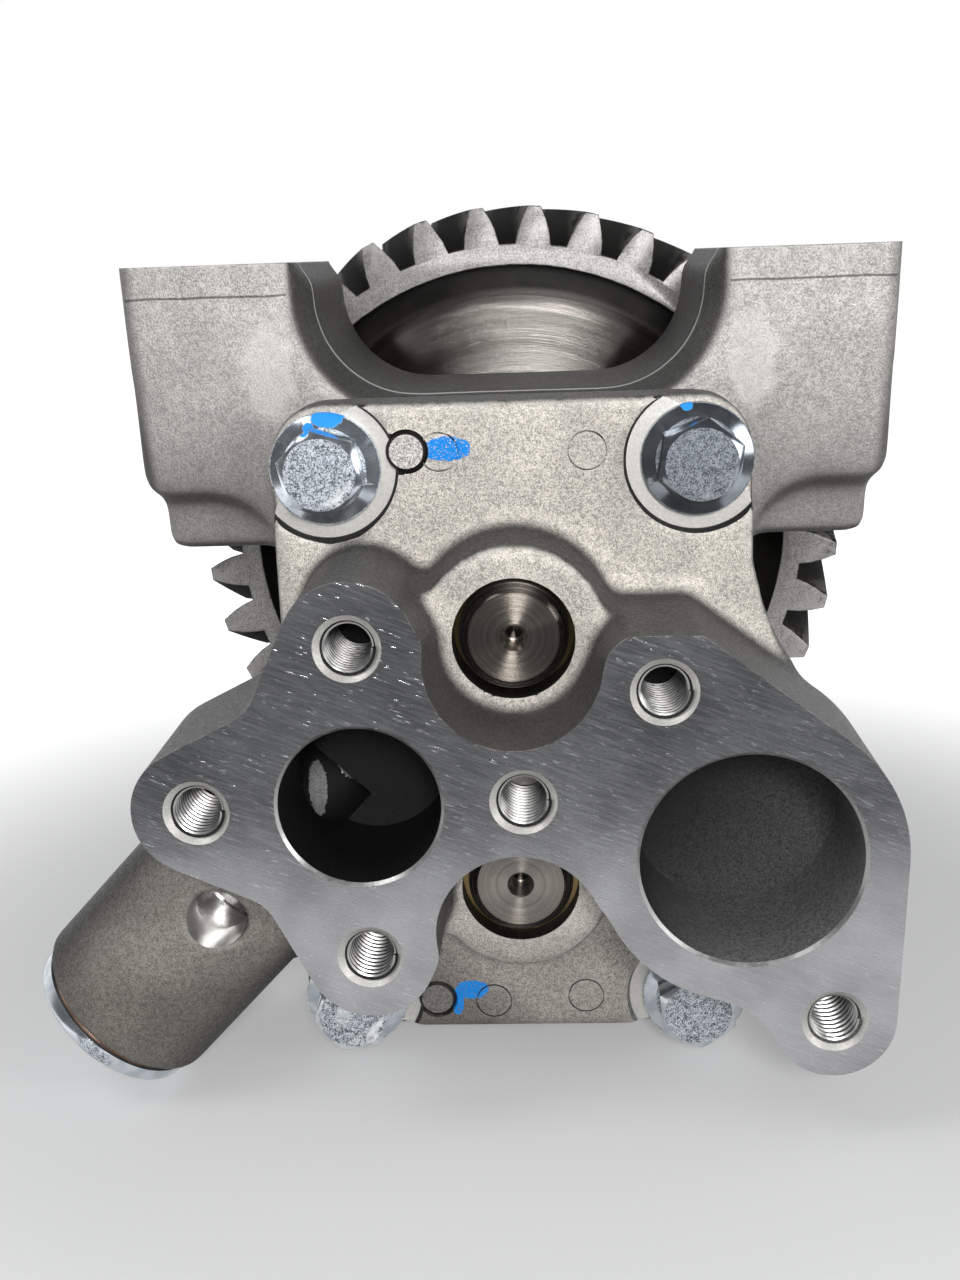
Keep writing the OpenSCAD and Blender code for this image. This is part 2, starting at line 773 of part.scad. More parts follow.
// Coil spring between the piston's crown and the plug
module relief_spring() {
  sides = 8;
  steps = 14;
  wire_r = spring_wire / 2;
  coil_r = spring_d / 2 - wire_r;
  from = relief_seat + piston_crown + wire_r + 0.1;
  to = relief_l - plug_thread_l - wire_r - 0.1;
  rings = ceil(spring_turns * steps);
  points = [for (i = [0:rings], k = [0:sides - 1])
    let (a = 360 * spring_turns * i / rings, rise = (to - from) * i / rings,
         out = coil_r + wire_r * cos(360 * k / sides))
    [out * cos(a), out * sin(a), rise + wire_r * sin(360 * k / sides)]];
  walls = [for (i = [0:rings - 1], k = [0:sides - 1])
    let (a = i * sides + k, b = i * sides + (k + 1) % sides)
    [a, b, b + sides, a + sides]];
  ends = [[for (k = [sides - 1:-1:0]) k], [for (k = [0:sides - 1]) rings * sides + k]];
  color("dimgray")
    on_relief(from) polyhedron(points = points, faces = concat(walls, ends), convexity = 10);
}

module relief_plug() {
  color("lightsteelblue")
    on_relief(relief_l)
      difference() {
        union() {
          translate([0, 0, -plug_thread_l])
            cylinder(h = plug_thread_l + seal_t, r = relief_bore_d / 2 - fit);
          translate([0, 0, seal_t]) cylinder(h = plug_flange_t - 0.8, r = plug_flange_d / 2);
          translate([0, 0, seal_t + plug_flange_t - 0.8])
            cylinder(h = 0.8, r1 = plug_flange_d / 2, r2 = plug_flange_d / 2 - 0.8);
        }
        translate([0, 0, -plug_thread_l / 2])
          cylinder(h = plug_thread_l * 2, r = plug_socket_af / 2 / cos(30), $fn = 6);
      }
}

module plug_washer() {
  color("peru")
    on_relief(relief_l)
      difference() {
        cylinder(h = seal_t, r = plug_flange_d / 2 - 1);
        translate([0, 0, -1]) cylinder(h = seal_t + 2, r = relief_bore_d / 2 + 0.2);
      }
}

pump_body();
pump_cover();
cover_bolt_upper_left();
cover_bolt_upper_right();
cover_bolt_lower_left();
cover_bolt_lower_right();
dowel_pin_upper();
dowel_pin_lower();
drive_shaft();
driven_shaft();
drive_pump_gear();
driven_pump_gear();
pump_gear_key();
cover_drive_bush();
cover_driven_bush();
body_drive_bush();
body_driven_bush();
drive_gear();
drive_gear_key();
thrust_washer();
gear_washer();
gear_nut();
relief_piston();
relief_spring();
relief_plug();
plug_washer();
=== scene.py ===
# Engine oil pump with a gear drive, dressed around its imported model: soft-edged castings with machined
# faces, cut threads, zinc-plated bolts, turned shafts and a helical drive gear.
import json
import math

import bmesh
import bpy
import numpy as np
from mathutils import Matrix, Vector


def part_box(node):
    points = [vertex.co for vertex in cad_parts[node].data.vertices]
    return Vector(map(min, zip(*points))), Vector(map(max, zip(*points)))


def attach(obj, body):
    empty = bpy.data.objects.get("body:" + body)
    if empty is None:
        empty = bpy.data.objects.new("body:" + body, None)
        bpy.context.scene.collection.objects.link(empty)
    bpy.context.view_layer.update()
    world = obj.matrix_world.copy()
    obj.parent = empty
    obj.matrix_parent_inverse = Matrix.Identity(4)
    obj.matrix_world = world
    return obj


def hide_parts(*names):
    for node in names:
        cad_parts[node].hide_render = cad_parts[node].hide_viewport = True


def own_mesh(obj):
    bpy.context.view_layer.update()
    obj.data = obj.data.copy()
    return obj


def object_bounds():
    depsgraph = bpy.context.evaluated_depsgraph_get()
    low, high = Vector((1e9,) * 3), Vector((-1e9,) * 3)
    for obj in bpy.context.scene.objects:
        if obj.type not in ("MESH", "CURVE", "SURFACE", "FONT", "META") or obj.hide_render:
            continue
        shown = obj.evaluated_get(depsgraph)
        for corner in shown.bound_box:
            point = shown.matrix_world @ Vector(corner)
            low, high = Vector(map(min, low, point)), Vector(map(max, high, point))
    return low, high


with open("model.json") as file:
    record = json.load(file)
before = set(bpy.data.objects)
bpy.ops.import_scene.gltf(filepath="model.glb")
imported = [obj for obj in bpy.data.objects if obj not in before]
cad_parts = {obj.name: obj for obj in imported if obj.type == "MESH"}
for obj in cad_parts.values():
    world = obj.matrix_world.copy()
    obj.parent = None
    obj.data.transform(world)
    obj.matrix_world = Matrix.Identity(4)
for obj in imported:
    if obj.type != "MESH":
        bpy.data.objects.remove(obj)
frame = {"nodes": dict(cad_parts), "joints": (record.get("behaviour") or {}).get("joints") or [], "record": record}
nodes = frame["nodes"]
cad_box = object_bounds()
mm = 0.001

# View: the camera stands 24 cm in front of the pipe flange and looks 15 degrees down at it.
# Four round lamps light the pump: two behind the camera, one at the upper left and one at the right.
pump_middle = Vector((0, 0, -80 * mm))
camera_place = (5.9 * mm, -313.5 * mm, -0.1 * mm)
camera_turn = (74.935, 1.917, 2.179)
camera_lens = 40.09

camera = bpy.data.objects.new("camera", bpy.data.cameras.new("camera"))
camera.location = camera_place
camera.rotation_euler = [math.radians(a) for a in camera_turn]
camera.data.lens = camera_lens
camera.data.sensor_width = 36
camera.data.clip_start = 0.01
bpy.context.scene.collection.objects.link(camera)
bpy.context.scene.camera = camera
bpy.context.scene.view_settings.view_transform = "Standard"


def lamp(name, place, size, power):
    """A round lamp that faces the middle of the pump, its size in metres and its power in watts."""
    light = bpy.data.lights.new(name, "AREA")
    light.shape = "DISK"
    light.size = size
    light.energy = power
    holder = bpy.data.objects.new(name, light)
    holder.location = place
    holder.rotation_euler = (pump_middle - Vector(place)).to_track_quat("-Z", "Y").to_euler()
    bpy.context.scene.collection.objects.link(holder)


lamp("front_lamp", (0.06, -0.62, 0.16), 0.13, 2.6)
lamp("flash", (-0.01, -0.62, 0.08), 0.03, 0.5)
lamp("upper_lamp", (-0.5, -0.3, 0.7), 0.4, 2.0)
lamp("side_lamp", (0.7, -0.45, 0.1), 0.4, 2.0)

# Pump body: an aluminium die casting with two ears that hang it under the engine block.
# Its mounting face, joint face, gear chamber, bearing bores and bolt holes are machined after casting.
housing = "housing"
mounts = {m["name"]: m for m in frame["record"]["mounts"]}
joints = {j["name"]: j for j in frame["joints"]}
drive_axis = Vector(joints["drive_spin"]["pos_m"])
driven_axis = Vector(joints["driven_spin"]["pos_m"])
bolts = [n for n in sorted(nodes) if n.startswith("cover_bolt")]
dowels = ["dowel_pin_upper", "dowel_pin_lower"]
joint_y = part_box("pump_body")[0].y
rear_boss_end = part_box("pump_body")[1].y
chamber_r = 30.1 * mm
chamber_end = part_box("driven_pump_gear")[1].y + 0.05 * mm
bush_r = 12.51 * mm
bush_stock = 1.5 * mm
bush_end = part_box("body_driven_bush")[1].y + 0.5 * mm
bolt_hole_r = 5 * mm
bolt_hole_end = 1.4 * mm
bolt_stock_end = 5 * mm
dowel_hole_r = 4.01 * mm
dowel_stock_r = 5 * mm
dowel_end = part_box("dowel_pin_upper")[1].y + 0.5 * mm
mounting = mounts["mounting_bolts"]["dims"]
mounting_hole_r = mounting["hole_r_mm"] * mm
mounting_places = [(sx * mounting["spacing_x_mm"] / 2 * mm, sy * mounting["spacing_y_mm"] / 2 * mm)
                   for sx in (-1, 1) for sy in (-1, 1)]
mounting_hole_low = -80 * mm
ear_low = -56.8 * mm
# What is left on machined faces and round bores, and how far before a face a cutter starts
machining = 4 * mm
stock_w = 1 * mm
past = 1 * mm
# The heights between which the underside falls into shade
shade_start = -128 * mm
shade_end = -142 * mm


def middle(node):
    low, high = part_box(node)
    return (low + high) / 2


def only(piece):
    bpy.ops.object.select_all(action="DESELECT")
    piece.select_set(True)
    bpy.context.view_layer.objects.active = piece


def solid_copy(node, name):
    """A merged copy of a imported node, to be worked on."""
    piece = bpy.data.objects.new(name, nodes[node].data.copy())
    bpy.context.scene.collection.objects.link(piece)
    piece.data.materials.clear()
    only(piece)
    bpy.ops.object.mode_set(mode="EDIT")
    bpy.ops.mesh.select_all(action="SELECT")
    bpy.ops.mesh.remove_doubles(threshold=0.002 * mm)
    bpy.ops.object.mode_set(mode="OBJECT")
    return piece


def apply_step(piece, kind, **settings):
    only(piece)
    step = piece.modifiers.new(kind.lower(), kind)
    for name, value in settings.items():
        setattr(step, name, value)
    bpy.ops.object.modifier_apply(modifier=step.name)


def placed(piece):
    only(piece)
    bpy.ops.object.transform_apply(location=True, rotation=True, scale=True)
    return piece


def bar(at, front, back, r_front, r_back=None, sides=96):
    """A round bar along the pump, at the x and z of a point."""
    bpy.ops.mesh.primitive_cone_add(
        vertices=sides, radius1=r_front, radius2=r_front if r_back is None else r_back,
        depth=back - front, location=(at.x, (front + back) / 2, at.z), rotation=(-math.pi / 2, 0, 0))
    return placed(bpy.context.active_object)


def pin(x, y, low, high, r):
    """An upright round bar."""
    bpy.ops.mesh.primitive_cylinder_add(vertices=64, radius=r, depth=high - low,
                                        location=(x, y, (low + high) / 2))
    return placed(bpy.context.active_object)


def block(low, high):
    low, high = Vector(low), Vector(high)
    bpy.ops.mesh.primitive_cube_add(size=1, location=(low + high) / 2)
    bpy.context.active_object.scale = high - low
    return placed(bpy.context.active_object)


def join(pieces, name):
    bpy.ops.object.select_all(action="DESELECT")
    for piece in pieces:
        piece.select_set(True)
    bpy.context.view_layer.objects.active = pieces[0]
    bpy.ops.object.join()
    pieces[0].name = name
    return pieces[0]


def combine(piece, others, kind):
    """Cuts a group of separate solids out of a piece, adds them to it or keeps what they share with it."""
    other = join(others, "tool")
    apply_step(piece, "BOOLEAN", operation=kind, solver="MANIFOLD", object=other)
    bpy.data.objects.remove(other)


def cut(piece, cutters):
    combine(piece, cutters, "DIFFERENCE")


def push_face(piece, axis, level, by):
    """Draws the flat face at a level out along its axis, to be machined back later."""
    only(piece)
    bpy.ops.object.mode_set(mode="EDIT")
    bpy.ops.mesh.select_mode(type="FACE")
    bpy.ops.mesh.select_all(action="DESELECT")
    mesh = bmesh.from_edit_mesh(piece.data)
    for face in mesh.faces:
        if all(abs(v.co[axis] - level) < 0.01 * mm for v in face.verts):
            face.select = True
    mesh.select_flush_mode()
    bmesh.update_edit_mesh(piece.data)
    way = Vector((0, 0, 0))
    way[axis] = by
    bpy.ops.mesh.extrude_region_move(TRANSFORM_OT_translate={"value": way})
    bpy.ops.object.mode_set(mode="OBJECT")


def cast(piece, voxel, fillet, passes):
    """Melts a solid into a casting skin: inside corners are filled to a radius and every edge is eased."""
    for way in (fillet / 2, fillet / 2, -fillet / 2, -fillet / 2):
        apply_step(piece, "REMESH", mode="VOXEL", voxel_size=voxel * mm)
        apply_step(piece, "DISPLACE", strength=way * mm, mid_level=0)
    apply_step(piece, "REMESH", mode="VOXEL", voxel_size=voxel * mm)
    apply_step(piece, "SMOOTH", factor=0.5, iterations=passes)
    bpy.ops.object.shade_smooth()


def paint(piece, index, test):
    """Gives a material slot to the faces whose middle and normal pass a test."""
    mesh = piece.data
    count = len(mesh.polygons)
    centre = np.zeros(count * 3, np.float32)
    normal = np.zeros(count * 3, np.float32)
    slots = np.zeros(count, np.int32)
    mesh.polygons.foreach_get("center", centre)
    mesh.polygons.foreach_get("normal", normal)
    mesh.polygons.foreach_get("material_index", slots)
    slots[test(centre.reshape(-1, 3), normal.reshape(-1, 3))] = index
    mesh.polygons.foreach_set("material_index", slots)
    mesh.update()


def dress(piece, *materials):
    piece.data.materials.clear()
    for material in materials:
        piece.data.materials.append(material)


def shader_node(tree, kind, sockets=(), **settings):
    """A shader node of a kind, with its settings, and values or links for its sockets."""
    made = tree.nodes.new("ShaderNode" + kind)
    for name, value in settings.items():
        setattr(made, name, value)
    fill(tree, made, sockets)
    return made


def fill(tree, made, sockets):
    for key, value in dict(sockets).items():
        if isinstance(value, bpy.types.NodeSocket):
            tree.links.new(value, made.inputs[key])
        else:
            made.inputs[key].default_value = value


def maths(tree, kind, a, b=0.0, c=0.0):
    return shader_node(tree, "Math", {0: a, 1: b, 2: c}, operation=kind).outputs[0]


def times(tree, a, b):
    return maths(tree, "MULTIPLY", a, b)


def plus(tree, a, b):
    return maths(tree, "ADD", a, b)


def unsigned(tree, value):
    return maths(tree, "ABSOLUTE", value)


def xyz(tree, vector):
    return shader_node(tree, "SeparateXYZ", {0: vector}).outputs


def length(tree, vector):
    return shader_node(tree, "VectorMath", {0: vector}, operation="LENGTH").outputs["Value"]


def spread(tree, value, low, high, to_low=0.0, to_high=1.0):
    """A value eased from one range into another."""
    sockets = {"Value": value, "From Min": low, "From Max": high, "To Min": to_low, "To Max": to_high}
    return shader_node(tree, "MapRange", sockets, interpolation_type="SMOOTHSTEP").outputs["Result"]


def tint(tree, amount, one, two, kind="MIX"):
    """One colour blended into another by an amount."""
    one, two = [c if isinstance(c, bpy.types.NodeSocket) else (*c, 1) for c in (one, two)]
    sockets = {0: amount, 6: one, 7: two}
    return shader_node(tree, "Mix", sockets, data_type="RGBA", blend_type=kind).outputs[2]


def effect(name, inputs, outputs):
    """A node group, and its input and output nodes."""
    tree = bpy.data.node_groups.new(name, "ShaderNodeTree")
    for way, sockets in (("INPUT", inputs), ("OUTPUT", outputs)):
        for socket, kind in sockets:
            tree.interface.new_socket(name=socket, in_out=way, socket_type="NodeSocket" + kind)
    return tree, tree.nodes.new("NodeGroupInput").outputs, tree.nodes.new("NodeGroupOutput").inputs


def use(tree, group, sockets=()):
    made = tree.nodes.new("ShaderNodeGroup")
    made.node_tree = group
    fill(tree, made, sockets)
    return made.outputs


def noise(tree, where, scale, detail=2.0, roughness=0.5):
    sockets = {"Vector": where, "Scale": scale, "Detail": detail, "Roughness": roughness}
    return shader_node(tree, "TexNoise", sockets).outputs["Fac"]


def surface(tree, output="Object"):
    return shader_node(tree, "TexCoord").outputs[output]


def moved(tree, where, place=(0, 0, 0), turn=(0, 0, 0), scale=(1, 1, 1)):
    """A vector that is scaled, turned by degrees and moved."""
    turn = [math.radians(a) for a in turn]
    sockets = {"Vector": where, "Location": place, "Rotation": turn, "Scale": scale}
    return shader_node(tree, "Mapping", sockets).outputs[0]


def metal(name, colour, roughness, metallic):
    """A new material, with its tree and its shader."""
    material = bpy.data.materials.new(name)
    material.use_nodes = True
    shader = material.node_tree.nodes["Principled BSDF"]
    shader.inputs["Metallic"].default_value = metallic
    shader.inputs["Roughness"].default_value = roughness
    shader.inputs["Base Color"].default_value = (*colour, 1)
    material.diffuse_color = (*colour, 1)
    return material, material.node_tree, shader


def bump(tree, shader, height, depth):
    """Raises a height of 0 to 1 by a depth in metres."""
    raised = shader_node(tree, "Bump", {"Height": height, "Strength": 1.0, "Distance": depth})
    tree.links.new(raised.outputs[0], shader.inputs["Normal"])


grain, given, out = effect("cast_grain", [("Size", "Float")],
                           [("Height", "Float"), ("Tone", "Float"), ("Patch", "Float")])
per_size = maths(grain, "DIVIDE", 1000.0, given[0])
fine = noise(grain, surface(grain), per_size, 3.0, 0.7)
coarse = noise(grain, surface(grain), times(grain, per_size, 0.3), 2.0, 0.6)
both = plus(grain, times(grain, fine, 0.75), times(grain, coarse, 0.25))
grain.links.new(both, out[0])
grain.links.new(spread(grain, both, 0.36, 0.64), out[1])
grain.links.new(spread(grain, noise(grain, surface(grain), 70.0, 3.0, 0.6), 0.35, 0.65), out[2])

wear, given, out = effect("edge_wear", [("Start", "Float"), ("End", "Float")], [("Worn", "Float")])
sharp = shader_node(wear, "NewGeometry").outputs["Pointiness"]
patchy = noise(wear, surface(wear), 260.0, 3.0, 0.65)
edge_range = {"Value": sharp, "From Min": given[0], "From Max": given[1]}
edge = shader_node(wear, "MapRange", edge_range).outputs["Result"]
wear.links.new(times(wear, edge, spread(wear, patchy, 0.4, 0.56)), out[0])


def low_down(tree):
    """How far a point has come down into the shade at the pump's underside, from 0 to 1."""
    return spread(tree, xyz(tree, surface(tree))[2], shade_start, shade_end)


def casting(name, face, skin_and_side_shade, worn_tone, size, contrast, depth):
    """Blasted aluminium, pale where it faces the die's parting and dark on its drawn walls, whose dark tone is
    partly smooth die skin and partly painted shade of walls that turn away from the light.

    The tone comes back unlinked, for what is still painted on it.
    """
    material, tree, shader = metal(name, face, 0.55, 0.55)
    marks = use(tree, grain, {"Size": size})
    # The drawn walls take the dark tone: partly die skin, partly painted shade of walls that turn away from the
    # light
    lit_parting_face = spread(tree, unsigned(tree, xyz(tree, surface(tree, "Normal"))[1]), 0.35, 0.9)
    mottled = tint(tree, times(tree, marks["Patch"], 0.22), tint(tree, lit_parting_face, skin_and_side_shade, face), skin_and_side_shade)
    spots = spread(tree, marks["Height"], 0.36, 0.62, 1 - contrast, 1 + 0.7 * contrast)
    shade = shader_node(tree, "CombineColor", {0: spots, 1: spots, 2: spots}).outputs[0]
    speckled = tint(tree, 1.0, mottled, shade, "MULTIPLY")
    edges = use(tree, wear, {"Start": 0.512, "End": 0.55})["Worn"]
    tone = tint(tree, times(tree, edges, 0.7), speckled, worn_tone)
    # Painted shade: the underside is darkened towards the bottom
    painted_shade_tone = tint(tree, 1.0, tone, (0.3, 0.29, 0.275), "MULTIPLY")
    tone = tint(tree, times(tree, low_down(tree), 0.5), tone, painted_shade_tone)
    tree.links.new(spread(tree, marks["Tone"], 0.0, 1.0, 0.62, 0.42), shader.inputs["Roughness"])
    bump(tree, shader, marks["Height"], depth)
    return material, tree, shader, tone


# Milling leaves fine strokes one way, and handling leaves scratches two ways across them
strokes, given, out = effect("tool_marks", [("Vector", "Vector")],
                             [("Height", "Float"), ("Tone", "Float"), ("Scratch", "Float")])
strokes.links.new(noise(strokes, moved(strokes, given[0], scale=(0.06, 1, 1)), 3200.0, 3.0, 0.6), out[0])
strokes.links.new(spread(strokes, noise(strokes, given[0], 40.0, 3.0, 0.55), 0.3, 0.7), out[1])
long_marks = noise(strokes, moved(strokes, given[0], turn=(0, -52, 0), scale=(0.12, 1, 1)), 1900.0, 1.0, 0.5)
short_marks = noise(strokes, moved(strokes, given[0], turn=(0, 24, 0), scale=(0.2, 1, 1)), 2300.0, 1.0, 0.5)
long_marks = spread(strokes, long_marks, 0.705, 0.76)
short_marks = spread(strokes, short_marks, 0.70, 0.755)
strokes.links.new(maths(strokes, "MAXIMUM", long_marks, short_marks), out[2])


def milled_metal(name, dark, light, roughness):
    material, tree, shader = metal(name, light, roughness, 1.0)
    marks = use(tree, strokes, {"Vector": moved(tree, surface(tree), turn=(0, -22, 0))})
    bright = times(tree, spread(tree, marks["Height"], 0.4, 0.65), 0.16)
    tone = tint(tree, bright, tint(tree, marks["Tone"], dark, light), (0.70, 0.70, 0.71))
    tone = tint(tree, times(tree, marks["Scratch"], 0.45), tone, (0.78, 0.78, 0.78))
    tree.links.new(tone, shader.inputs["Base Color"])
    tree.links.new(spread(tree, marks["Height"], 0.3, 0.7, roughness - 0.01, roughness + 0.05),
                   shader.inputs["Roughness"])
    bump(tree, shader, plus(tree, marks["Height"], times(tree, marks["Scratch"], 1.5)), 0.007 * mm)
    return material


milled = milled_metal("milled_aluminium", (0.33, 0.33, 0.34), (0.52, 0.52, 0.535), 0.24)

cast_body, tree, shader, tone = casting("cast_body", (0.50, 0.475, 0.45), (0.055, 0.053, 0.05),
                                        (0.6, 0.59, 0.57), 0.34, 0.30, 0.18 * mm)
where = xyz(tree, surface(tree))
sideways = unsigned(tree, where[0])
wobble = times(tree, noise(tree, surface(tree), 90.0), 0.8 * mm)

# Painted shade: the ears are darkened at their outer edges and towards their feet, and so are the faces that look
# down and the floor of the trough
ear_side_x = 76.5 * mm
ear_lean = 0.033
from_edge = maths(tree, "SUBTRACT", maths(tree, "MULTIPLY_ADD", where[2], ear_lean, ear_side_x), sideways)
edge_shade = spread(tree, plus(tree, from_edge, times(tree, wobble, 1.2)), 4.2 * mm, 1.2 * mm)
foot_shade = spread(tree, where[2], -14 * mm, -46 * mm)
ear_shade = plus(tree, times(tree, edge_shade, 0.6), times(tree, foot_shade, 0.6))
tone = tint(tree, ear_shade, tone, (0.11, 0.106, 0.10))
upward = xyz(tree, surface(tree, "Normal"))[2]
tone = tint(tree, times(tree, spread(tree, upward, -0.15, -0.6), 0.65), tone, (0.04, 0.038, 0.036))
trough_floor_shade = times(tree, spread(tree, upward, 0.3, 0.7), spread(tree, sideways, 50 * mm, 35 * mm))
tone = tint(tree, times(tree, trough_floor_shade, 0.6), tone, (0.012, 0.012, 0.011))

# A patch on each ear, beside the trough, is rubbed bright
rubbed_x = 47.5 * mm
rubbed_z = -21 * mm
rubbed_half_w = 5.5 * mm
rubbed_half_h = 10.5 * mm
across = maths(tree, "DIVIDE", maths(tree, "SUBTRACT", sideways, rubbed_x), rubbed_half_w)
upright = maths(tree, "DIVIDE", maths(tree, "SUBTRACT", where[2], rubbed_z), rubbed_half_h)
from_patch = length(tree, shader_node(tree, "CombineXYZ", {0: across, 2: upright}).outputs[0])
ragged = times(tree, noise(tree, surface(tree), 260.0, 3.0), 0.8)
rubbed = spread(tree, plus(tree, from_patch, ragged), 1.5, 1.1)
tone = tint(tree, times(tree, rubbed, 0.45), tone, (0.66, 0.64, 0.615))

# A dark witness line runs under the ears' machined tops, and the bright flash of the die along the trough
witness_z = -5.8 * mm
flash_y = -18.6 * mm
from_line = unsigned(tree, plus(tree, where[2], plus(tree, wobble, -witness_z)))
on_front = spread(tree, where[1], joint_y + 0.6 * mm, joint_y + 0.4 * mm)
witness = times(tree, spread(tree, from_line, 0.35 * mm, 0.1 * mm), on_front)
tone = tint(tree, times(tree, witness, 0.75), tone, (0.05, 0.048, 0.045))
from_flash = unsigned(tree, plus(tree, where[1], plus(tree, wobble, -flash_y)))
in_trough = spread(tree, sideways, 46 * mm, 45 * mm)
above_plate = spread(tree, where[2], -31.5 * mm, -30.5 * mm)
flash = times(tree, spread(tree, from_flash, 0.5 * mm, 0.15 * mm), times(tree, in_trough, above_plate))
tone = tint(tree, times(tree, flash, 0.8), tone, (0.55, 0.54, 0.52))
tree.links.new(tone, shader.inputs["Base Color"])

body = solid_copy("pump_body", "body_casting")
push_face(body, 2, 0, machining)
# Every bore is filled before the skin is melted, and is then cut sharp
stock = [bar(axis, joint_y, chamber_end + stock_w, chamber_r + stock_w) for axis in (drive_axis, driven_axis)]
stock += [bar(drive_axis, 0, rear_boss_end, bush_r + bush_stock),
          bar(driven_axis, 0, bush_end, bush_r + bush_stock)]
stock += [bar(middle(b), joint_y, bolt_stock_end, bolt_hole_r + stock_w) for b in bolts]
stock += [bar(middle(d), joint_y, dowel_end + stock_w, dowel_stock_r) for d in dowels]
stock += [pin(x, y, ear_low, machining, mounting_hole_r + stock_w) for x, y in mounting_places]
body = join([body] + stock, "body_casting")
cast(body, voxel=0.86, fillet=2.0, passes=14)
above_ears = block((-100 * mm, -50 * mm, 0), (100 * mm, 50 * mm, 20 * mm))
cut(body, [above_ears])
for axis in (drive_axis, driven_axis):
    cut(body, [bar(axis, joint_y - past, chamber_end, chamber_r)])
cut(body, [bar(drive_axis, chamber_end - past, rear_boss_end + 5 * mm, bush_r),
           bar(driven_axis, chamber_end - past, bush_end, bush_r)])
cut(body, [pin(x, y, mounting_hole_low, 10 * mm, mounting_hole_r) for x, y in mounting_places]
    + [bar(middle(b), joint_y - past, bolt_hole_end, bolt_hole_r) for b in bolts]
    + [bar(middle(d), joint_y - past, dowel_end, dowel_hole_r) for d in dowels])
dress(body, cast_body, milled)
paint(body, 1, lambda c, n: (c[:, 2] > -0.01 * mm) & (n[:, 2] > 0.99))
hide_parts("pump_body")
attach(body, housing)

# Shafts and pump gears: two ground steel shafts run in bronze bushes, with a 13-toothed gear on each.
# The gear on the drive shaft is keyed, and the other one is pressed on its shaft.
rings, given, out = effect("turned_rings", [("Vector", "Vector"), ("Pitch", "Float")],
                           [("Height", "Float"), ("Tone", "Float"), ("Centre", "Float")])
flat = xyz(rings, given[0])
squares = [maths(rings, "POWER", flat[i], 2.0) for i in (0, 2)]
radius = maths(rings, "SQRT", plus(rings, squares[0], squares[1]))
groove = shader_node(rings, "CombineXYZ", {0: maths(rings, "DIVIDE", radius, given[1]),
                                           1: maths(rings, "DIVIDE", flat[1], given[1])}).outputs[0]
rings.links.new(noise(rings, groove, 1.0, 3.0, 0.7), out[0])
rings.links.new(spread(rings, noise(rings, groove, 0.13, 2.0, 0.5), 0.3, 0.7), out[1])
rings.links.new(spread(rings, radius, 1.9 * mm, 1.6 * mm), out[2])


def draw_out(tree, shader, amount):
    """Draws a highlight out across the rings that turning leaves."""
    shader.inputs["Anisotropic"].default_value = amount
    shader.inputs["Anisotropic Rotation"].default_value = 0.25
    round_axis = shader_node(tree, "Tangent", direction_type="RADIAL", axis="Y").outputs[0]
    tree.links.new(round_axis, shader.inputs["Tangent"])


def turned_metal(name, axis, dark, light, roughness, pitch):
    """Metal turned on an axis, with fine rings in two tones."""
    material, tree, shader = metal(name, light, roughness, 1.0)
    marks = use(tree, rings, {"Vector": moved(tree, surface(tree), place=-axis), "Pitch": pitch})
    stain = spread(tree, noise(tree, surface(tree), 130.0, 4.0, 0.65), 0.35, 0.65)
    tone = tint(tree, marks["Tone"], dark, light)
    tone = tint(tree, times(tree, stain, 0.35), tone, dark)
    # Painted shade: a dark disc round the axis stands for a shaded centre hole
    tone = tint(tree, marks["Centre"], tone, (0.05, 0.045, 0.04))
    tree.links.new(tone, shader.inputs["Base Color"])
    tree.links.new(spread(tree, marks["Height"], 0.3, 0.7, roughness - 0.06, roughness + 0.1),
                   shader.inputs["Roughness"])
    draw_out(tree, shader, 0.95)
    bump(tree, shader, marks["Height"], 0.01 * mm)
    return material


drive_steel = turned_metal("turned_drive_steel", drive_axis, (0.27, 0.235, 0.20), (0.46, 0.41, 0.36),
                           0.22, 0.12 * mm)
driven_steel = turned_metal("turned_driven_steel", driven_axis, (0.22, 0.20, 0.175), (0.33, 0.30, 0.27),
                            0.23, 0.12 * mm)
bronze_tones = ((0.42, 0.27, 0.12), (0.62, 0.44, 0.22))
drive_bronze = turned_metal("bored_bronze", drive_axis, *bronze_tones, 0.3, 0.1 * mm)
driven_bronze = turned_metal("bored_driven_bronze", driven_axis, *bronze_tones, 0.3, 0.1 * mm)
tooth_steel = turned_metal("ground_tooth_steel", drive_axis, (0.26, 0.25, 0.24), (0.42, 0.41, 0.40),
                           0.3, 0.2 * mm)
turned_nodes = {"drive_shaft": drive_steel, "driven_shaft": driven_steel,
                "cover_drive_bush": drive_bronze, "body_drive_bush": drive_bronze,
                "cover_driven_bush": driven_bronze, "body_driven_bush": driven_bronze,
                "drive_pump_gear": tooth_steel, "driven_pump_gear": tooth_steel}
for name, material in turned_nodes.items():
    dress(nodes[name], material)

# Dowels and keys: ground pins that line the cover up with the body, and the gears' square keys.
# The pins' ends were blasted together with the cover.
pin_steel, tree, shader = metal("dowel_steel", (0.42, 0.40, 0.38), 0.45, 0.6)
marks = use(tree, grain, {"Size": 0.3})
spots = tint(tree, spread(tree, marks["Height"], 0.38, 0.6), (0.20, 0.19, 0.18), (0.66, 0.63, 0.59))
end = spread(tree, unsigned(tree, xyz(tree, surface(tree, "Normal"))[1]), 0.8, 0.95)
# Painted shade: the pins' ends are darkened towards the bottom, and their sides are painted near black
spots = tint(tree, times(tree, low_down(tree), 0.7), spots, (0.06, 0.058, 0.055))
tree.links.new(tint(tree, end, (0.03, 0.028, 0.025), spots), shader.inputs["Base Color"])
tree.links.new(spread(tree, marks["Tone"], 0.0, 1.0, 0.55, 0.35), shader.inputs["Roughness"])
bump(tree, shader, marks["Height"], 0.12 * mm)
for name in dowels + ["pump_gear_key", "drive_gear_key"]:
    dress(nodes[name], pin_steel)

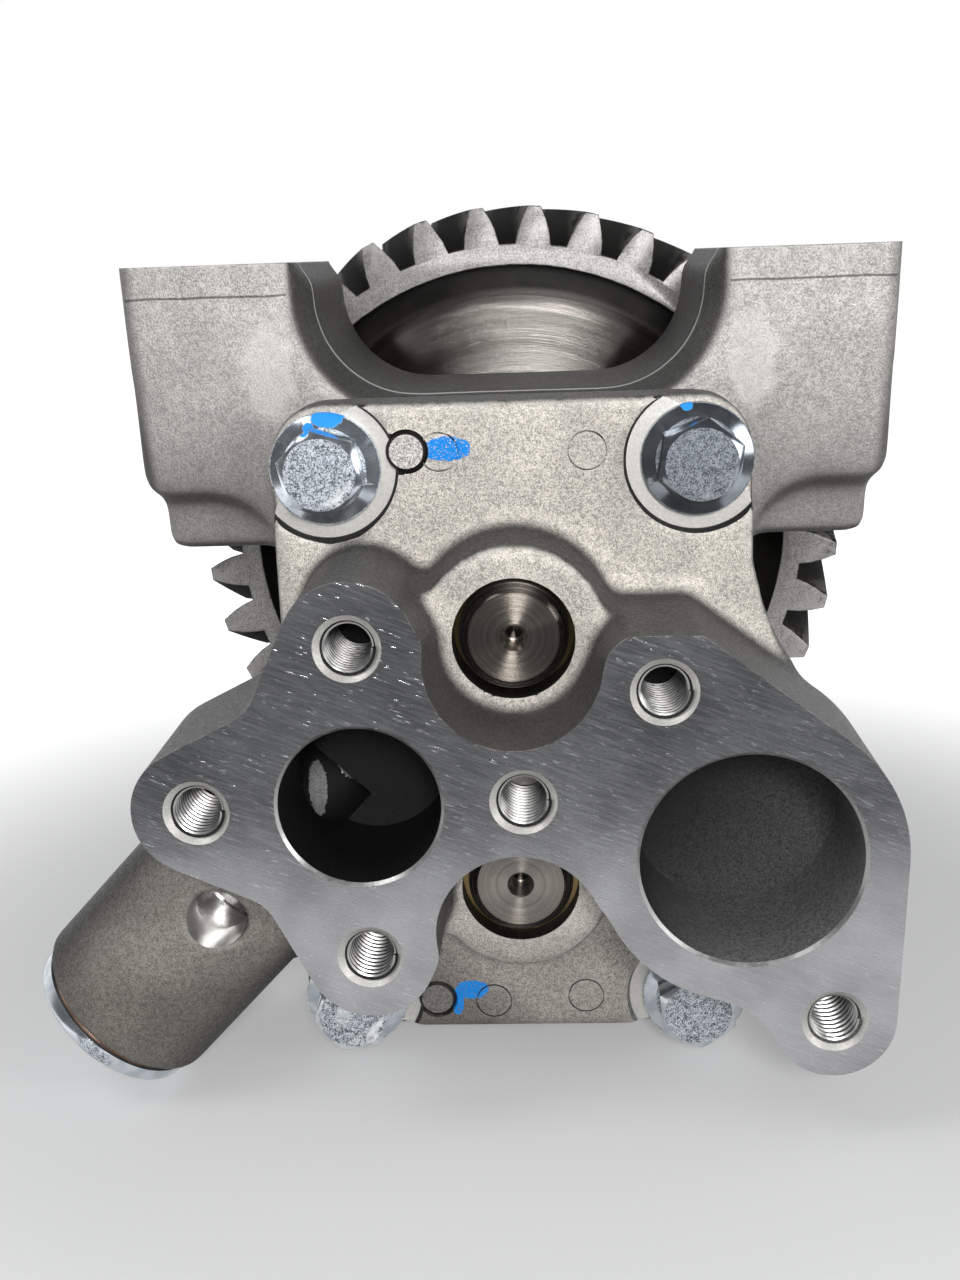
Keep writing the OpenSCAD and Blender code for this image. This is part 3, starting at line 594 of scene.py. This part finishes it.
# Pump cover: a die casting that carries the pipe flange, both ports and the relief valve's housing.
# The flange is milled, and the bores, seats and six M10 threads are cut after casting and blasting.
flange_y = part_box("pump_cover")[0].y
plate_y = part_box("dowel_pin_upper")[0].y
seat_y = plate_y + 2.4 * mm
seat_r = 13.7 * mm
seat_bevel = 0.9 * mm
joint_machining = 3 * mm
port_end = -44 * mm
port_stock = 0.9 * mm
port_chamfer_h = 0.6 * mm
port_chamfer_w = 1.6 * mm
delivery_at = Vector(mounts["delivery_port"]["pos_m"])
suction_at = Vector(mounts["suction_port"]["pos_m"])
delivery_r = mounts["delivery_port"]["dims"]["r_mm"] * mm
suction_r = mounts["suction_port"]["dims"]["r_mm"] * mm
shaft_mouth_r = 11.7 * mm
shaft_gap = 0.8 * mm
bolt_stock_r = 6.5 * mm
pin_stock_r = 5.2 * mm
pin_sink_r = 4.9 * mm
pin_sink_h = 0.7 * mm
thread_hole_r = 5 * mm
thread_stock_r = 6.6 * mm
thread_depth = 22 * mm
thread_pitch = 1.5 * mm
thread_start = flange_y + 1.1 * mm
ridge_low_r = 4.25 * mm
ridge_high_r = 5.15 * mm
sink_r = 7.2 * mm
sink_h = 1.4 * mm
relief_way = Vector(joints["relief_slide"]["axis"])
relief_piston_at = 44 * mm
relief_start = middle("relief_piston") - relief_piston_at * relief_way
relief_side = relief_way.cross(Vector((0, 1, 0)))
relief_bore_r = 11 * mm
relief_mouth_r = 8.5 * mm
relief_mouth_at = 6 * mm
relief_seat_at = 31 * mm
relief_end = 78 * mm
spill_from_start = 40.7 * mm
spill_at = relief_start + spill_from_start * relief_way
spill_r = 5.75 * mm
spill_end = -42 * mm
ports = ((delivery_at, delivery_r), (suction_at, suction_r))
ejector_r = 3.85 * mm
ejector_groove_w = 0.3 * mm
ejector_groove_h = 0.8 * mm
ejectors = [middle(dowels[0]) + Vector((6.3 * mm, 0, -0.2 * mm)),
            drive_axis + Vector((14.8 * mm, 0, 33.4 * mm)),
            drive_axis + Vector((-6.6 * mm, 0, -83.5 * mm)),
            drive_axis + Vector((13 * mm, 0, -82.5 * mm))]
marking_blue = (0.0, 0.26, 0.78)
upper_dab_at = (-12.1 * mm, -35.6 * mm)
lower_dab_at = (-11.2 * mm, -150.8 * mm)
lower_run_at = (-14.3 * mm, -153.5 * mm)
mouth_light_at = (-42.4 * mm, -106.8 * mm)


def bolt_circle(name, start):
    """The places of the threads round a port, counted from an angle above +X."""
    centre = Vector(mounts[name]["pos_m"])
    r = mounts[name]["dims"]["pcd_mm"] / 2 * mm
    count = mounts[name]["dims"]["count"]
    return [centre + r * Vector((math.cos(a), 0, math.sin(a)))
            for a in (math.radians(start) + 2 * math.pi * i / count for i in range(count))]


def slanted_bar(near, far, r):
    """A round bar along the relief valve, between two distances from where its axis starts."""
    bpy.ops.mesh.primitive_cylinder_add(vertices=96, radius=r, depth=far - near,
                                        location=relief_start + relief_way * (near + far) / 2,
                                        rotation=relief_way.to_track_quat("Z", "Y").to_euler())
    return placed(bpy.context.active_object)


def near_axis(at, r_low, r_high, y_low=-1, y_high=1):
    """A test for faces round the axis of a bore, between two radii and two depths."""
    def test(centre, normal):
        away = np.hypot(centre[:, 0] - at.x, centre[:, 2] - at.z)
        return (away > r_low) & (away < r_high) & (centre[:, 1] > y_low) & (centre[:, 1] < y_high)
    return test


def on_seat_bevel(at):
    round_seat = near_axis(at, seat_r - 0.4 * mm, seat_r + 1.1 * mm, plate_y - 0.2 * mm, seat_y)
    return lambda centre, normal: round_seat(centre, normal) & (abs(normal[:, 1]) < 0.8)


def on_mouth_wall(centre, normal):
    """The wall of the relief valve's mouth, behind the delivery port."""
    across = np.hypot(centre[:, 1] - relief_start.y, (centre - relief_start) @ relief_side)
    behind_port = near_axis(delivery_at, delivery_r - 7 * mm, 34 * mm, -50.7 * mm, -33.4 * mm)
    return behind_port(centre, normal) & (abs(across - relief_mouth_r) < 0.1 * mm)


def thread(depth, r_low, r_high, pitch):
    """A closed helical ridge up from the origin, narrow at its crest and screwed round the Z axis."""
    bpy.ops.mesh.primitive_circle_add(vertices=6, fill_type="NGON")
    ridge = bpy.context.active_object
    r_middle = r_low + 0.4 * (r_high - r_low)
    # Each corner's distance from the axis, and its height in shares of the pitch
    corners = ((r_high, -0.44), (r_middle, -0.27), (r_low, -0.12),
               (r_low, 0.12), (r_middle, 0.27), (r_high, 0.44))
    for point, (r, height) in zip(ridge.data.vertices, corners):
        point.co = (r, 0, height * pitch)
    apply_step(ridge, "SCREW", axis="Z", angle=2 * math.pi, screw_offset=pitch, iterations=int(depth / pitch),
               steps=32, render_steps=32, use_merge_vertices=False)
    bpy.ops.object.mode_set(mode="EDIT")
    bpy.ops.mesh.select_all(action="SELECT")
    bpy.ops.mesh.remove_doubles(threshold=0.001 * mm)
    bpy.ops.mesh.fill_holes(sides=0)
    bpy.ops.mesh.select_all(action="SELECT")
    bpy.ops.mesh.normals_make_consistent(inside=False)
    bpy.ops.object.mode_set(mode="OBJECT")
    bpy.ops.object.shade_smooth_by_angle(angle=math.radians(20))
    return ridge


def dab(tree, at, half_x, half_z, turn=0):
    """A ragged oval at an x and z, as a brush leaves it."""
    spot = moved(tree, surface(tree), place=(-at[0], 0, -at[1]))
    spot = moved(tree, spot, turn=(0, turn, 0), scale=(1 / half_x, 0, 1 / half_z))
    ragged = times(tree, noise(tree, surface(tree), 900.0, 3.0, 0.7), 0.7)
    return spread(tree, plus(tree, length(tree, spot), ragged), 1.42, 1.30)


def along(tree, way):
    """How far a point lies along a direction."""
    product = shader_node(tree, "VectorMath", {0: surface(tree), 1: tuple(way)}, operation="DOT_PRODUCT")
    return product.outputs["Value"]


cast_cover, tree, shader, tone = casting("cast_cover", (0.60, 0.56, 0.505), (0.085, 0.083, 0.08),
                                         (0.66, 0.64, 0.6), 0.3, 0.46, 0.22 * mm)
valve_start = relief_start.dot(relief_way)
# Painted shade: the relief valve's housing is darkened from partway along its axis
valve_shade_mask = spread(tree, along(tree, relief_way), valve_start + 18 * mm, valve_start + 34 * mm)
painted_shade_tone = tint(tree, 1.0, tone, (0.30, 0.285, 0.27), "MULTIPLY")
tone = tint(tree, times(tree, valve_shade_mask, 0.75), tone, painted_shade_tone)
upper_dab = dab(tree, upper_dab_at, 4.6 * mm, 2.3 * mm, 8)
lower_dab = maths(tree, "MAXIMUM", dab(tree, lower_dab_at, 3.4 * mm, 2.1 * mm),
                  dab(tree, lower_run_at, 1.2 * mm, 3.2 * mm, -25))
on_plate = spread(tree, xyz(tree, surface(tree))[1], plate_y - 1.2 * mm, plate_y - 0.8 * mm)
dabs = times(tree, maths(tree, "MAXIMUM", upper_dab, lower_dab), on_plate)
dabs = times(tree, dabs, spread(tree, noise(tree, surface(tree), 2600.0, 2.0), 0.36, 0.44))
tree.links.new(tint(tree, dabs, tone, marking_blue), shader.inputs["Base Color"])

bored, tree, shader = metal("cut_aluminium", (0.62, 0.61, 0.60), 0.25, 1.0)
marks = noise(tree, surface(tree), 900.0, 3.0, 0.6)
tree.links.new(tint(tree, marks, (0.40, 0.39, 0.38), (0.56, 0.55, 0.54)), shader.inputs["Base Color"])
tree.links.new(spread(tree, marks, 0.3, 0.7, 0.3, 0.42), shader.inputs["Roughness"])

# Painted shade and light: the recesses are painted near black, and the sandy wall at the lower right of the
# suction port is painted as lit, brighter on the wall than on the floor
bore_shade_and_light, tree, shader = metal("painted_bore_shade_and_light", (0.035, 0.035, 0.036), 0.45, 0.35)
marks = use(tree, grain, {"Size": 0.3})
sandy = tint(tree, spread(tree, marks["Height"], 0.38, 0.62), (0.08, 0.08, 0.081), (0.30, 0.30, 0.302))
lit_way = Vector((0.7, 0, -0.7))
lit_from = suction_at.dot(lit_way)
lit_side = spread(tree, along(tree, lit_way), lit_from - 14 * mm, lit_from + 17 * mm)
lit_wall = spread(tree, unsigned(tree, xyz(tree, surface(tree, "Normal"))[1]), 0.8, 0.6, 0.32, 1.0)
tone = tint(tree, times(tree, lit_side, lit_wall), (0.005, 0.005, 0.005), sandy)
# Painted light: a pale patch on the wall of the valve's mouth, deep in the delivery port, where light falls on it
mouth_front = -36 * mm
deep = spread(tree, xyz(tree, surface(tree))[1], mouth_front, mouth_front + 1 * mm)
glint = times(tree, dab(tree, mouth_light_at, 1.9 * mm, 6.2 * mm, 18), deep)
painted_light_tone = tint(tree, marks["Tone"], (0.16, 0.16, 0.157), (0.36, 0.36, 0.355))
tree.links.new(tint(tree, glint, tone, painted_light_tone), shader.inputs["Base Color"])
tree.links.new(spread(tree, marks["Tone"], 0.0, 1.0, 0.62, 0.42), shader.inputs["Roughness"])
bump(tree, shader, marks["Height"], 0.3 * mm)

seat_metal, tree, shader = metal("spot_face", (0.60, 0.58, 0.55), 0.4, 0.6)
marks = use(tree, grain, {"Size": 0.22})
blasted = tint(tree, marks["Tone"], (0.50, 0.485, 0.455), (0.66, 0.645, 0.61))
tree.links.new(blasted, shader.inputs["Base Color"])
tree.links.new(spread(tree, marks["Tone"], 0.0, 1.0, 0.5, 0.36), shader.inputs["Roughness"])
bump(tree, shader, marks["Height"], 0.06 * mm)

threads = bolt_circle("delivery_bolts", 1) + bolt_circle("suction_bolts", 116)
cover = solid_copy("pump_cover", "cover_casting")
push_face(cover, 1, flange_y, -machining)
push_face(cover, 1, joint_y, joint_machining)
front = flange_y - machining
back = joint_y + joint_machining
stock = [bar(at, front, port_end + 0.5 * mm, r + port_stock) for at, r in ports]
stock += [bar(drive_axis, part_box("drive_shaft")[0].y - shaft_gap, back, bush_r + bush_stock),
          bar(driven_axis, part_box("driven_shaft")[0].y - shaft_gap, back, bush_r + bush_stock),
          slanted_bar(20 * mm, relief_end - 0.3 * mm, relief_bore_r + stock_w)]
stock += [bar(t, front, flange_y + thread_depth + stock_w, thread_stock_r) for t in threads]
stock += [bar(middle(d), plate_y, back, pin_stock_r) for d in dowels]
stock += [bar(middle(b), seat_y, back, bolt_stock_r) for b in bolts]
stock += [bar(spill_at, flange_y + 17 * mm, spill_end, spill_r + 0.8 * mm)]
cover = join([cover] + stock, "cover_casting")
cast(cover, voxel=0.8, fillet=2.2, passes=8)

before_flange = block((-120 * mm, -90 * mm, -170 * mm), (120 * mm, flange_y, 0))
behind_joint = block((-48 * mm, joint_y, -180 * mm), (120 * mm, joint_y + 20 * mm, 0))
cut(cover, [before_flange])
cut(cover, [behind_joint])
cut(cover, [slanted_bar(relief_seat_at, relief_end + 6 * mm, relief_bore_r)])
cut(cover, [slanted_bar(relief_mouth_at, relief_seat_at + past, relief_mouth_r),
            bar(spill_at, flange_y + 10 * mm, spill_end, spill_r)])
cut(cover, [bar(at, flange_y - past, port_end, r) for at, r in ports]
    + [bar(axis, -80 * mm, joint_y + past, shaft_mouth_r) for axis in (drive_axis, driven_axis)]
    + [bar(t, flange_y - past, flange_y + thread_depth, thread_hole_r) for t in threads])
cut(cover, [bar(at, flange_y - past, flange_y + port_chamfer_h, r + port_chamfer_w, r)
            for at, r in ports]
    + [bar(t, flange_y - past, flange_y + sink_h, sink_r, thread_hole_r - 0.2 * mm) for t in threads])
cut(cover, [bar(middle(b), plate_y - 1.5 * mm, seat_y, seat_r) for b in bolts])
cut(cover, [bar(middle(b), plate_y - 0.3 * mm, seat_y - 0.4 * mm, seat_r + seat_bevel, seat_r - 0.1 * mm)
            for b in bolts])
cut(cover, [bar(middle(b), plate_y, joint_y + past, bolt_hole_r) for b in bolts]
    + [bar(middle(d), plate_y - past, joint_y + past, dowel_hole_r) for d in dowels])
cut(cover, [bar(middle(d), plate_y - past, plate_y + pin_sink_h, pin_sink_r, pin_sink_r - 1 * mm)
            for d in dowels])

# The die's ejector pins left a fine ring each in the plate's face
for at in ejectors:
    ring = bar(at, plate_y - past, plate_y + ejector_groove_h, ejector_r)
    cut(ring, [bar(at, plate_y - 2 * past, plate_y + 2 * past, ejector_r - ejector_groove_w)])
    cut(cover, [ring])

ridges = []
for t in threads:
    ridge = thread(thread_depth - thread_pitch, ridge_low_r, ridge_high_r, thread_pitch)
    ridge.rotation_euler = (-math.pi / 2, 0, 0)
    ridge.location = (t.x, thread_start, t.z)
    placed(ridge)
    # Painted shade: the ridges' roots and crests take the near-black bore material, so that only their flanks show
    # bright
    dress(ridge, bored, bore_shade_and_light)
    paint(ridge, 1, near_axis(t, 4.62 * mm, 6 * mm))
    paint(ridge, 1, near_axis(t, 0, 4.3 * mm))
    ridges.append(ridge)

dress(cover, cast_cover, milled, bored, bore_shade_and_light, seat_metal)
# Painted shade: the seat bevels, the dowel's sink, the ports' insides, the ejector grooves, the shaft mouths and
# the threaded holes take the near-black bore material, and so does the wall of the valve's mouth, with its painted
# light patch
for b in bolts:
    paint(cover, 4, near_axis(middle(b), 0, seat_r + 0.1 * mm, plate_y + 0.5 * mm, seat_y + 0.05 * mm))
    paint(cover, 3, on_seat_bevel(middle(b)))
paint(cover, 3, near_axis(middle(dowels[0]), 0, 4.5 * mm, plate_y + 0.02 * mm, joint_y))
for at, r in ports:
    chamfer_end = flange_y + port_chamfer_h
    paint(cover, 3, near_axis(at, 0, r + 0.05 * mm, chamfer_end - 0.05 * mm, port_end + 1 * mm))
    paint(cover, 2, near_axis(at, r - 0.5 * mm, r + 1 * mm, flange_y + 0.01 * mm, chamfer_end - 0.01 * mm))
paint(cover, 3, on_mouth_wall)
for at in ejectors:
    paint(cover, 3, near_axis(at, 3.5 * mm, 3.9 * mm, plate_y + 0.02 * mm, plate_y + 0.9 * mm))
for at in (drive_axis, driven_axis):
    paint(cover, 3, near_axis(at, 0, shaft_mouth_r + 0.05 * mm, -60 * mm, joint_y))
for t in threads:
    wall_r = thread_hole_r + 0.05 * mm
    paint(cover, 3, near_axis(t, 0, wall_r, flange_y + 1 * mm, flange_y + thread_depth + 0.1 * mm))
    paint(cover, 4, near_axis(t, thread_hole_r - 0.1 * mm, wall_r, flange_y + 1 * mm, flange_y + 2.4 * mm))
    paint(cover, 4, near_axis(t, thread_hole_r + 0.06 * mm, sink_r + 0.1 * mm, flange_y + 0.01 * mm,
                              flange_y + sink_h + 0.05 * mm))
paint(cover, 1, lambda c, n: (c[:, 1] < flange_y + 0.01 * mm) & (n[:, 1] < -0.99))
paint(cover, 2, near_axis(spill_at, 0, spill_r + 0.02 * mm, -60 * mm, -30 * mm))
cover = join([cover] + ridges, "cover_casting")
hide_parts("pump_cover")
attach(cover, housing)

# Cover bolts: four M10 flange bolts, cold-headed and zinc-plated bluish, with blank heads.
# Each is one hexagon with a turned chamfer on a conical washer face, over a plain shank.
hexagon_r = 7.5 * mm / math.cos(math.radians(30))
head_chamfer_r = 6.9 * mm
washer_r = 10.9 * mm
washer_h = 1.5 * mm
cone_top_r = 8.2 * mm
cone_foot_r = 10.7 * mm
cone_h = 1.3 * mm
shank_r = 5 * mm
head_turn = {"cover_bolt_upper_left": -14, "cover_bolt_upper_right": 8, "cover_bolt_lower_left": 20,
             "cover_bolt_lower_right": -6}


def zinc_plating(name):
    """Bluish zinc, glossy on the flanks and grainy on the struck end faces.

    The tone comes back unlinked, for what is still painted on it.
    """
    material, tree, shader = metal(name, (0.62, 0.66, 0.71), 0.2, 0.9)
    marks = use(tree, grain, {"Size": 0.25})
    end = spread(tree, unsigned(tree, xyz(tree, surface(tree, "Normal"))[1]), 0.96, 0.995)
    cloudy = spread(tree, noise(tree, surface(tree), 260.0, 3.0), 0.35, 0.65)
    glossy = tint(tree, cloudy, (0.50, 0.55, 0.60), (0.70, 0.74, 0.79))
    spotted = spread(tree, marks["Height"], 0.42, 0.56)
    grainy = tint(tree, spotted, (0.045, 0.055, 0.07), (0.62, 0.67, 0.72))
    edges = use(tree, wear, {"Start": 0.53, "End": 0.6})["Worn"]
    tone = tint(tree, times(tree, edges, 0.8), tint(tree, end, glossy, grainy), (0.9, 0.92, 0.94))
    tree.links.new(spread(tree, end, 0.0, 1.0, 0.16, 0.42), shader.inputs["Roughness"])
    tree.links.new(spread(tree, end, 0.0, 1.0, 0.95, 0.45), shader.inputs["Metallic"])
    bump(tree, shader, times(tree, marks["Height"], end), 0.2 * mm)
    return material, tree, shader, tone


zinc, tree, shader, tone = zinc_plating("zinc_plating")
tree.links.new(tone, shader.inputs["Base Color"])
bolt_zinc, tree, shader, tone = zinc_plating("painted_zinc_plating")
upper_left = middle("cover_bolt_upper_left")
upper_right = middle("cover_bolt_upper_right")
where = xyz(tree, surface(tree))
# Painted shade: the lower bolt at the right is darkened
shaded = times(tree, spread(tree, where[0], -10 * mm, 10 * mm, 0.0, 0.6),
               spread(tree, where[2], -110 * mm, -90 * mm))
tone = tint(tree, shaded, tone, (0.045, 0.055, 0.07))
left_dab = dab(tree, (upper_left.x + 1.2 * mm, upper_left.z + 10 * mm), 3.2 * mm, 1.8 * mm, 5)
left_spot = dab(tree, (upper_left.x - 2.6 * mm, upper_left.z + 8.2 * mm), 1.1 * mm, 1 * mm)
right_spot = dab(tree, (upper_right.x - 2.2 * mm, upper_right.z + 10.2 * mm), 1.2 * mm, 0.9 * mm)
painted = maths(tree, "MAXIMUM", maths(tree, "MAXIMUM", left_dab, left_spot), right_spot)
for socket, matt in (("Metallic", 0.0), ("Roughness", 0.55)):
    plated = shader.inputs[socket].links[0].from_socket
    mixed = shader_node(tree, "Mix", {0: painted, 2: plated, 3: matt}).outputs[0]
    tree.links.new(mixed, shader.inputs[socket])
tree.links.new(tint(tree, painted, tone, marking_blue), shader.inputs["Base Color"])


def flange_bolt(name, at, turn):
    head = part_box(name)[0].y
    bolt = bar(Vector((0, 0, 0)), head, seat_y - washer_h - 0.1 * mm, hexagon_r, sides=6)
    bolt.rotation_euler.y = math.radians(turn)
    bolt.location = (at.x, 0, at.z)
    placed(bolt)
    combine(bolt, [bar(at, head, head + 9 * mm, head_chamfer_r, 22 * mm)], "INTERSECT")
    only(bolt)
    bpy.ops.object.mode_set(mode="EDIT")
    bpy.ops.mesh.select_all(action="SELECT")
    bpy.ops.mesh.dissolve_limited(angle_limit=math.radians(1))
    bpy.ops.object.mode_set(mode="OBJECT")
    washer_y = seat_y - washer_h
    combine(bolt, [bar(at, washer_y - cone_h, washer_y, cone_top_r, cone_foot_r)], "UNION")
    combine(bolt, [bar(at, washer_y, seat_y, washer_r)], "UNION")
    combine(bolt, [bar(at, seat_y - 0.1 * mm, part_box(name)[1].y, shank_r)], "UNION")
    apply_step(bolt, "BEVEL", width=0.28 * mm, segments=3, limit_method="ANGLE", angle_limit=math.radians(24))
    bpy.ops.object.shade_smooth_by_angle(angle=math.radians(35))
    bolt.name = name + "_forged"
    dress(bolt, bolt_zinc)
    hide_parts(name)
    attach(bolt, housing)


for name in bolts:
    flange_bolt(name, middle(name), head_turn[name])

# Relief valve: a hardened piston that a spring holds on its seat, behind a hexagon-socket plug.
# The plug is zinc-plated and sits on a soft copper washer.
def plain_metal(name, dark, light, roughness, metallic, size, depth):
    """Metal with a fine grain in two tones, its gloss a little patchy."""
    material, tree, shader = metal(name, light, roughness, metallic)
    marks = use(tree, grain, {"Size": size})
    tree.links.new(tint(tree, marks["Tone"], dark, light), shader.inputs["Base Color"])
    patchy = spread(tree, marks["Patch"], 0.0, 1.0, roughness - 0.06, roughness + 0.1)
    tree.links.new(patchy, shader.inputs["Roughness"])
    bump(tree, shader, marks["Height"], depth)
    return material


piston_steel = plain_metal("hardened_steel", (0.50, 0.49, 0.48), (0.70, 0.69, 0.67), 0.22, 1.0, 0.6,
                           0.01 * mm)
copper = plain_metal("soft_copper", (0.24, 0.15, 0.10), (0.38, 0.24, 0.17), 0.4, 1.0, 0.8, 0.03 * mm)
wire = plain_metal("spring_wire", (0.16, 0.16, 0.17), (0.32, 0.32, 0.33), 0.35, 1.0, 0.5, 0.02 * mm)
dress(nodes["relief_piston"], piston_steel)
dress(nodes["plug_washer"], copper)

# The spring is copied with a mesh of its own, at its length in the imported model
spring = solid_copy("relief_spring", "relief_spring_wound")
bpy.ops.object.shade_smooth_by_angle(angle=math.radians(50))
dress(spring, wire)
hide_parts("relief_spring")
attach(spring, housing)
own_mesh(spring)


def eased_copy(node, name, width, material):
    """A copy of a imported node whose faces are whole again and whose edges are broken."""
    piece = solid_copy(node, name)
    bpy.ops.object.mode_set(mode="EDIT")
    bpy.ops.mesh.select_all(action="SELECT")
    bpy.ops.mesh.dissolve_limited(angle_limit=math.radians(1))
    bpy.ops.object.mode_set(mode="OBJECT")
    apply_step(piece, "BEVEL", width=width, segments=2, limit_method="ANGLE", angle_limit=math.radians(28))
    bpy.ops.object.shade_smooth_by_angle(angle=math.radians(32))
    dress(piece, material)
    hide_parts(node)
    return piece


plug = eased_copy("relief_plug", "relief_plug_turned", 0.25 * mm, zinc)
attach(plug, housing)

# Drive gear: a hobbed helical gear with turned recesses, keyed on the shaft's end.
# A bronze thrust washer lies behind it on the body's boss, and a zinc-plated washer and nut hold it.
gear_w = 28 * mm
gear_hub_past = 2 * mm
rim_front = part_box("drive_gear")[1].y - gear_w - gear_hub_past
rim_back = rim_front + gear_w
rim_reach = 1 * mm

gear_steel, tree, shader = metal("hobbed_steel", (0.5, 0.48, 0.46), 0.35, 1.0)
marks = use(tree, rings, {"Vector": moved(tree, surface(tree), place=-drive_axis), "Pitch": 0.3 * mm})
specks = use(tree, grain, {"Size": 0.5})
on_end = spread(tree, unsigned(tree, xyz(tree, surface(tree, "Normal"))[1]), 0.9, 0.99)
depth = xyz(tree, surface(tree))[1]
raised = maths(tree, "MAXIMUM",
               spread(tree, depth, rim_front + rim_reach + 0.2 * mm, rim_front + rim_reach - 0.2 * mm),
               spread(tree, depth, rim_back - rim_reach - 0.2 * mm, rim_back - rim_reach + 0.2 * mm))
rim = times(tree, on_end, raised)
# Painted shade: the tooth flanks are painted near black; the web's dark tone is partly the turned steel and partly
# painted shade
web_steel_and_shade = tint(tree, marks["Tone"], (0.085, 0.08, 0.073), (0.125, 0.117, 0.108))
shaded_flank = tint(tree, specks["Patch"], (0.010, 0.009, 0.008), (0.026, 0.024, 0.022))
face = tint(tree, spread(tree, specks["Height"], 0.36, 0.62), (0.19, 0.183, 0.175), (0.46, 0.445, 0.43))
tone = tint(tree, rim, tint(tree, on_end, shaded_flank, web_steel_and_shade), face)
edges = times(tree, use(tree, wear, {"Start": 0.515, "End": 0.56})["Worn"], 0.55)
tree.links.new(tint(tree, edges, tone, (0.6, 0.58, 0.56)), shader.inputs["Base Color"])
end_roughness = maths(tree, "MULTIPLY_ADD", rim, 0.2, 0.21)
rough = shader_node(tree, "Mix", {0: on_end, 2: 0.55, 3: end_roughness}).outputs[0]
tree.links.new(rough, shader.inputs["Roughness"])
end_metallic = maths(tree, "MULTIPLY_ADD", rim, -0.55, 1.0)
shine = shader_node(tree, "Mix", {0: on_end, 2: 0.5, 3: end_metallic}).outputs[0]
tree.links.new(shine, shader.inputs["Metallic"])
draw_out(tree, shader, 1.0)
bump(tree, shader, plus(tree, marks["Height"], times(tree, specks["Height"], rim)), 0.05 * mm)
gear = eased_copy("drive_gear", "drive_gear_hobbed", 0.4 * mm, gear_steel)
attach(gear, "drive_train")
dress(nodes["thrust_washer"], drive_bronze)
for node in ("gear_washer", "gear_nut"):
    held = eased_copy(node, node + "_plated", 0.3 * mm, zinc)
    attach(held, "drive_train")

# Studio: a white paper floor in a white room, whose dark front shows only where metal mirrors it.
# Under the pump the floor glows less, so that its soft shadow shows.
floor_z = cad_box[0][2] - 0.5 * mm
floor_size = 4
floor_front = -0.2
bpy.ops.mesh.primitive_grid_add(x_subdivisions=8, y_subdivisions=8, size=floor_size,
                                location=(0, floor_front + floor_size / 2, floor_z))
floor = placed(bpy.context.active_object)
floor.name = "floor"
paper, tree, shader = metal("paper", (0.5, 0.5, 0.5), 0.9, 0.0)
shader.inputs["Specular IOR Level"].default_value = 0.0
path = shader_node(tree, "LightPath").outputs
mirrored = maths(tree, "MAXIMUM", path["Is Glossy Ray"], path["Is Transmission Ray"])
seen = maths(tree, "MAXIMUM", path["Is Camera Ray"], mirrored)
away = length(tree, moved(tree, surface(tree), scale=(1, 1, 0)))
white = times(tree, seen, spread(tree, away, 0.11, 0.34, 0.22, 1.0))
glow = shader_node(tree, "Emission", {"Color": (1, 1, 1, 1), "Strength": white})
both = shader_node(tree, "AddShader", {0: shader.outputs[0], 1: glow.outputs[0]})
tree.links.new(both.outputs[0], tree.nodes["Material Output"].inputs["Surface"])
dress(floor, paper)

world = bpy.data.worlds.new("studio")
world.use_nodes = True
bpy.context.scene.world = world
tree = world.node_tree
path = shader_node(tree, "LightPath").outputs
sky = xyz(tree, surface(tree, "Generated"))
room = tint(tree, spread(tree, sky[1], -0.35, 0.25), (0.12, 0.125, 0.13), (1, 1, 1))
lit = tint(tree, path["Is Glossy Ray"], (0.30, 0.31, 0.32), room)
tree.links.new(tint(tree, path["Is Camera Ray"], lit, (1, 1, 1)), tree.nodes["Background"].inputs["Color"])
tree.nodes["Background"].inputs["Strength"].default_value = 1.0
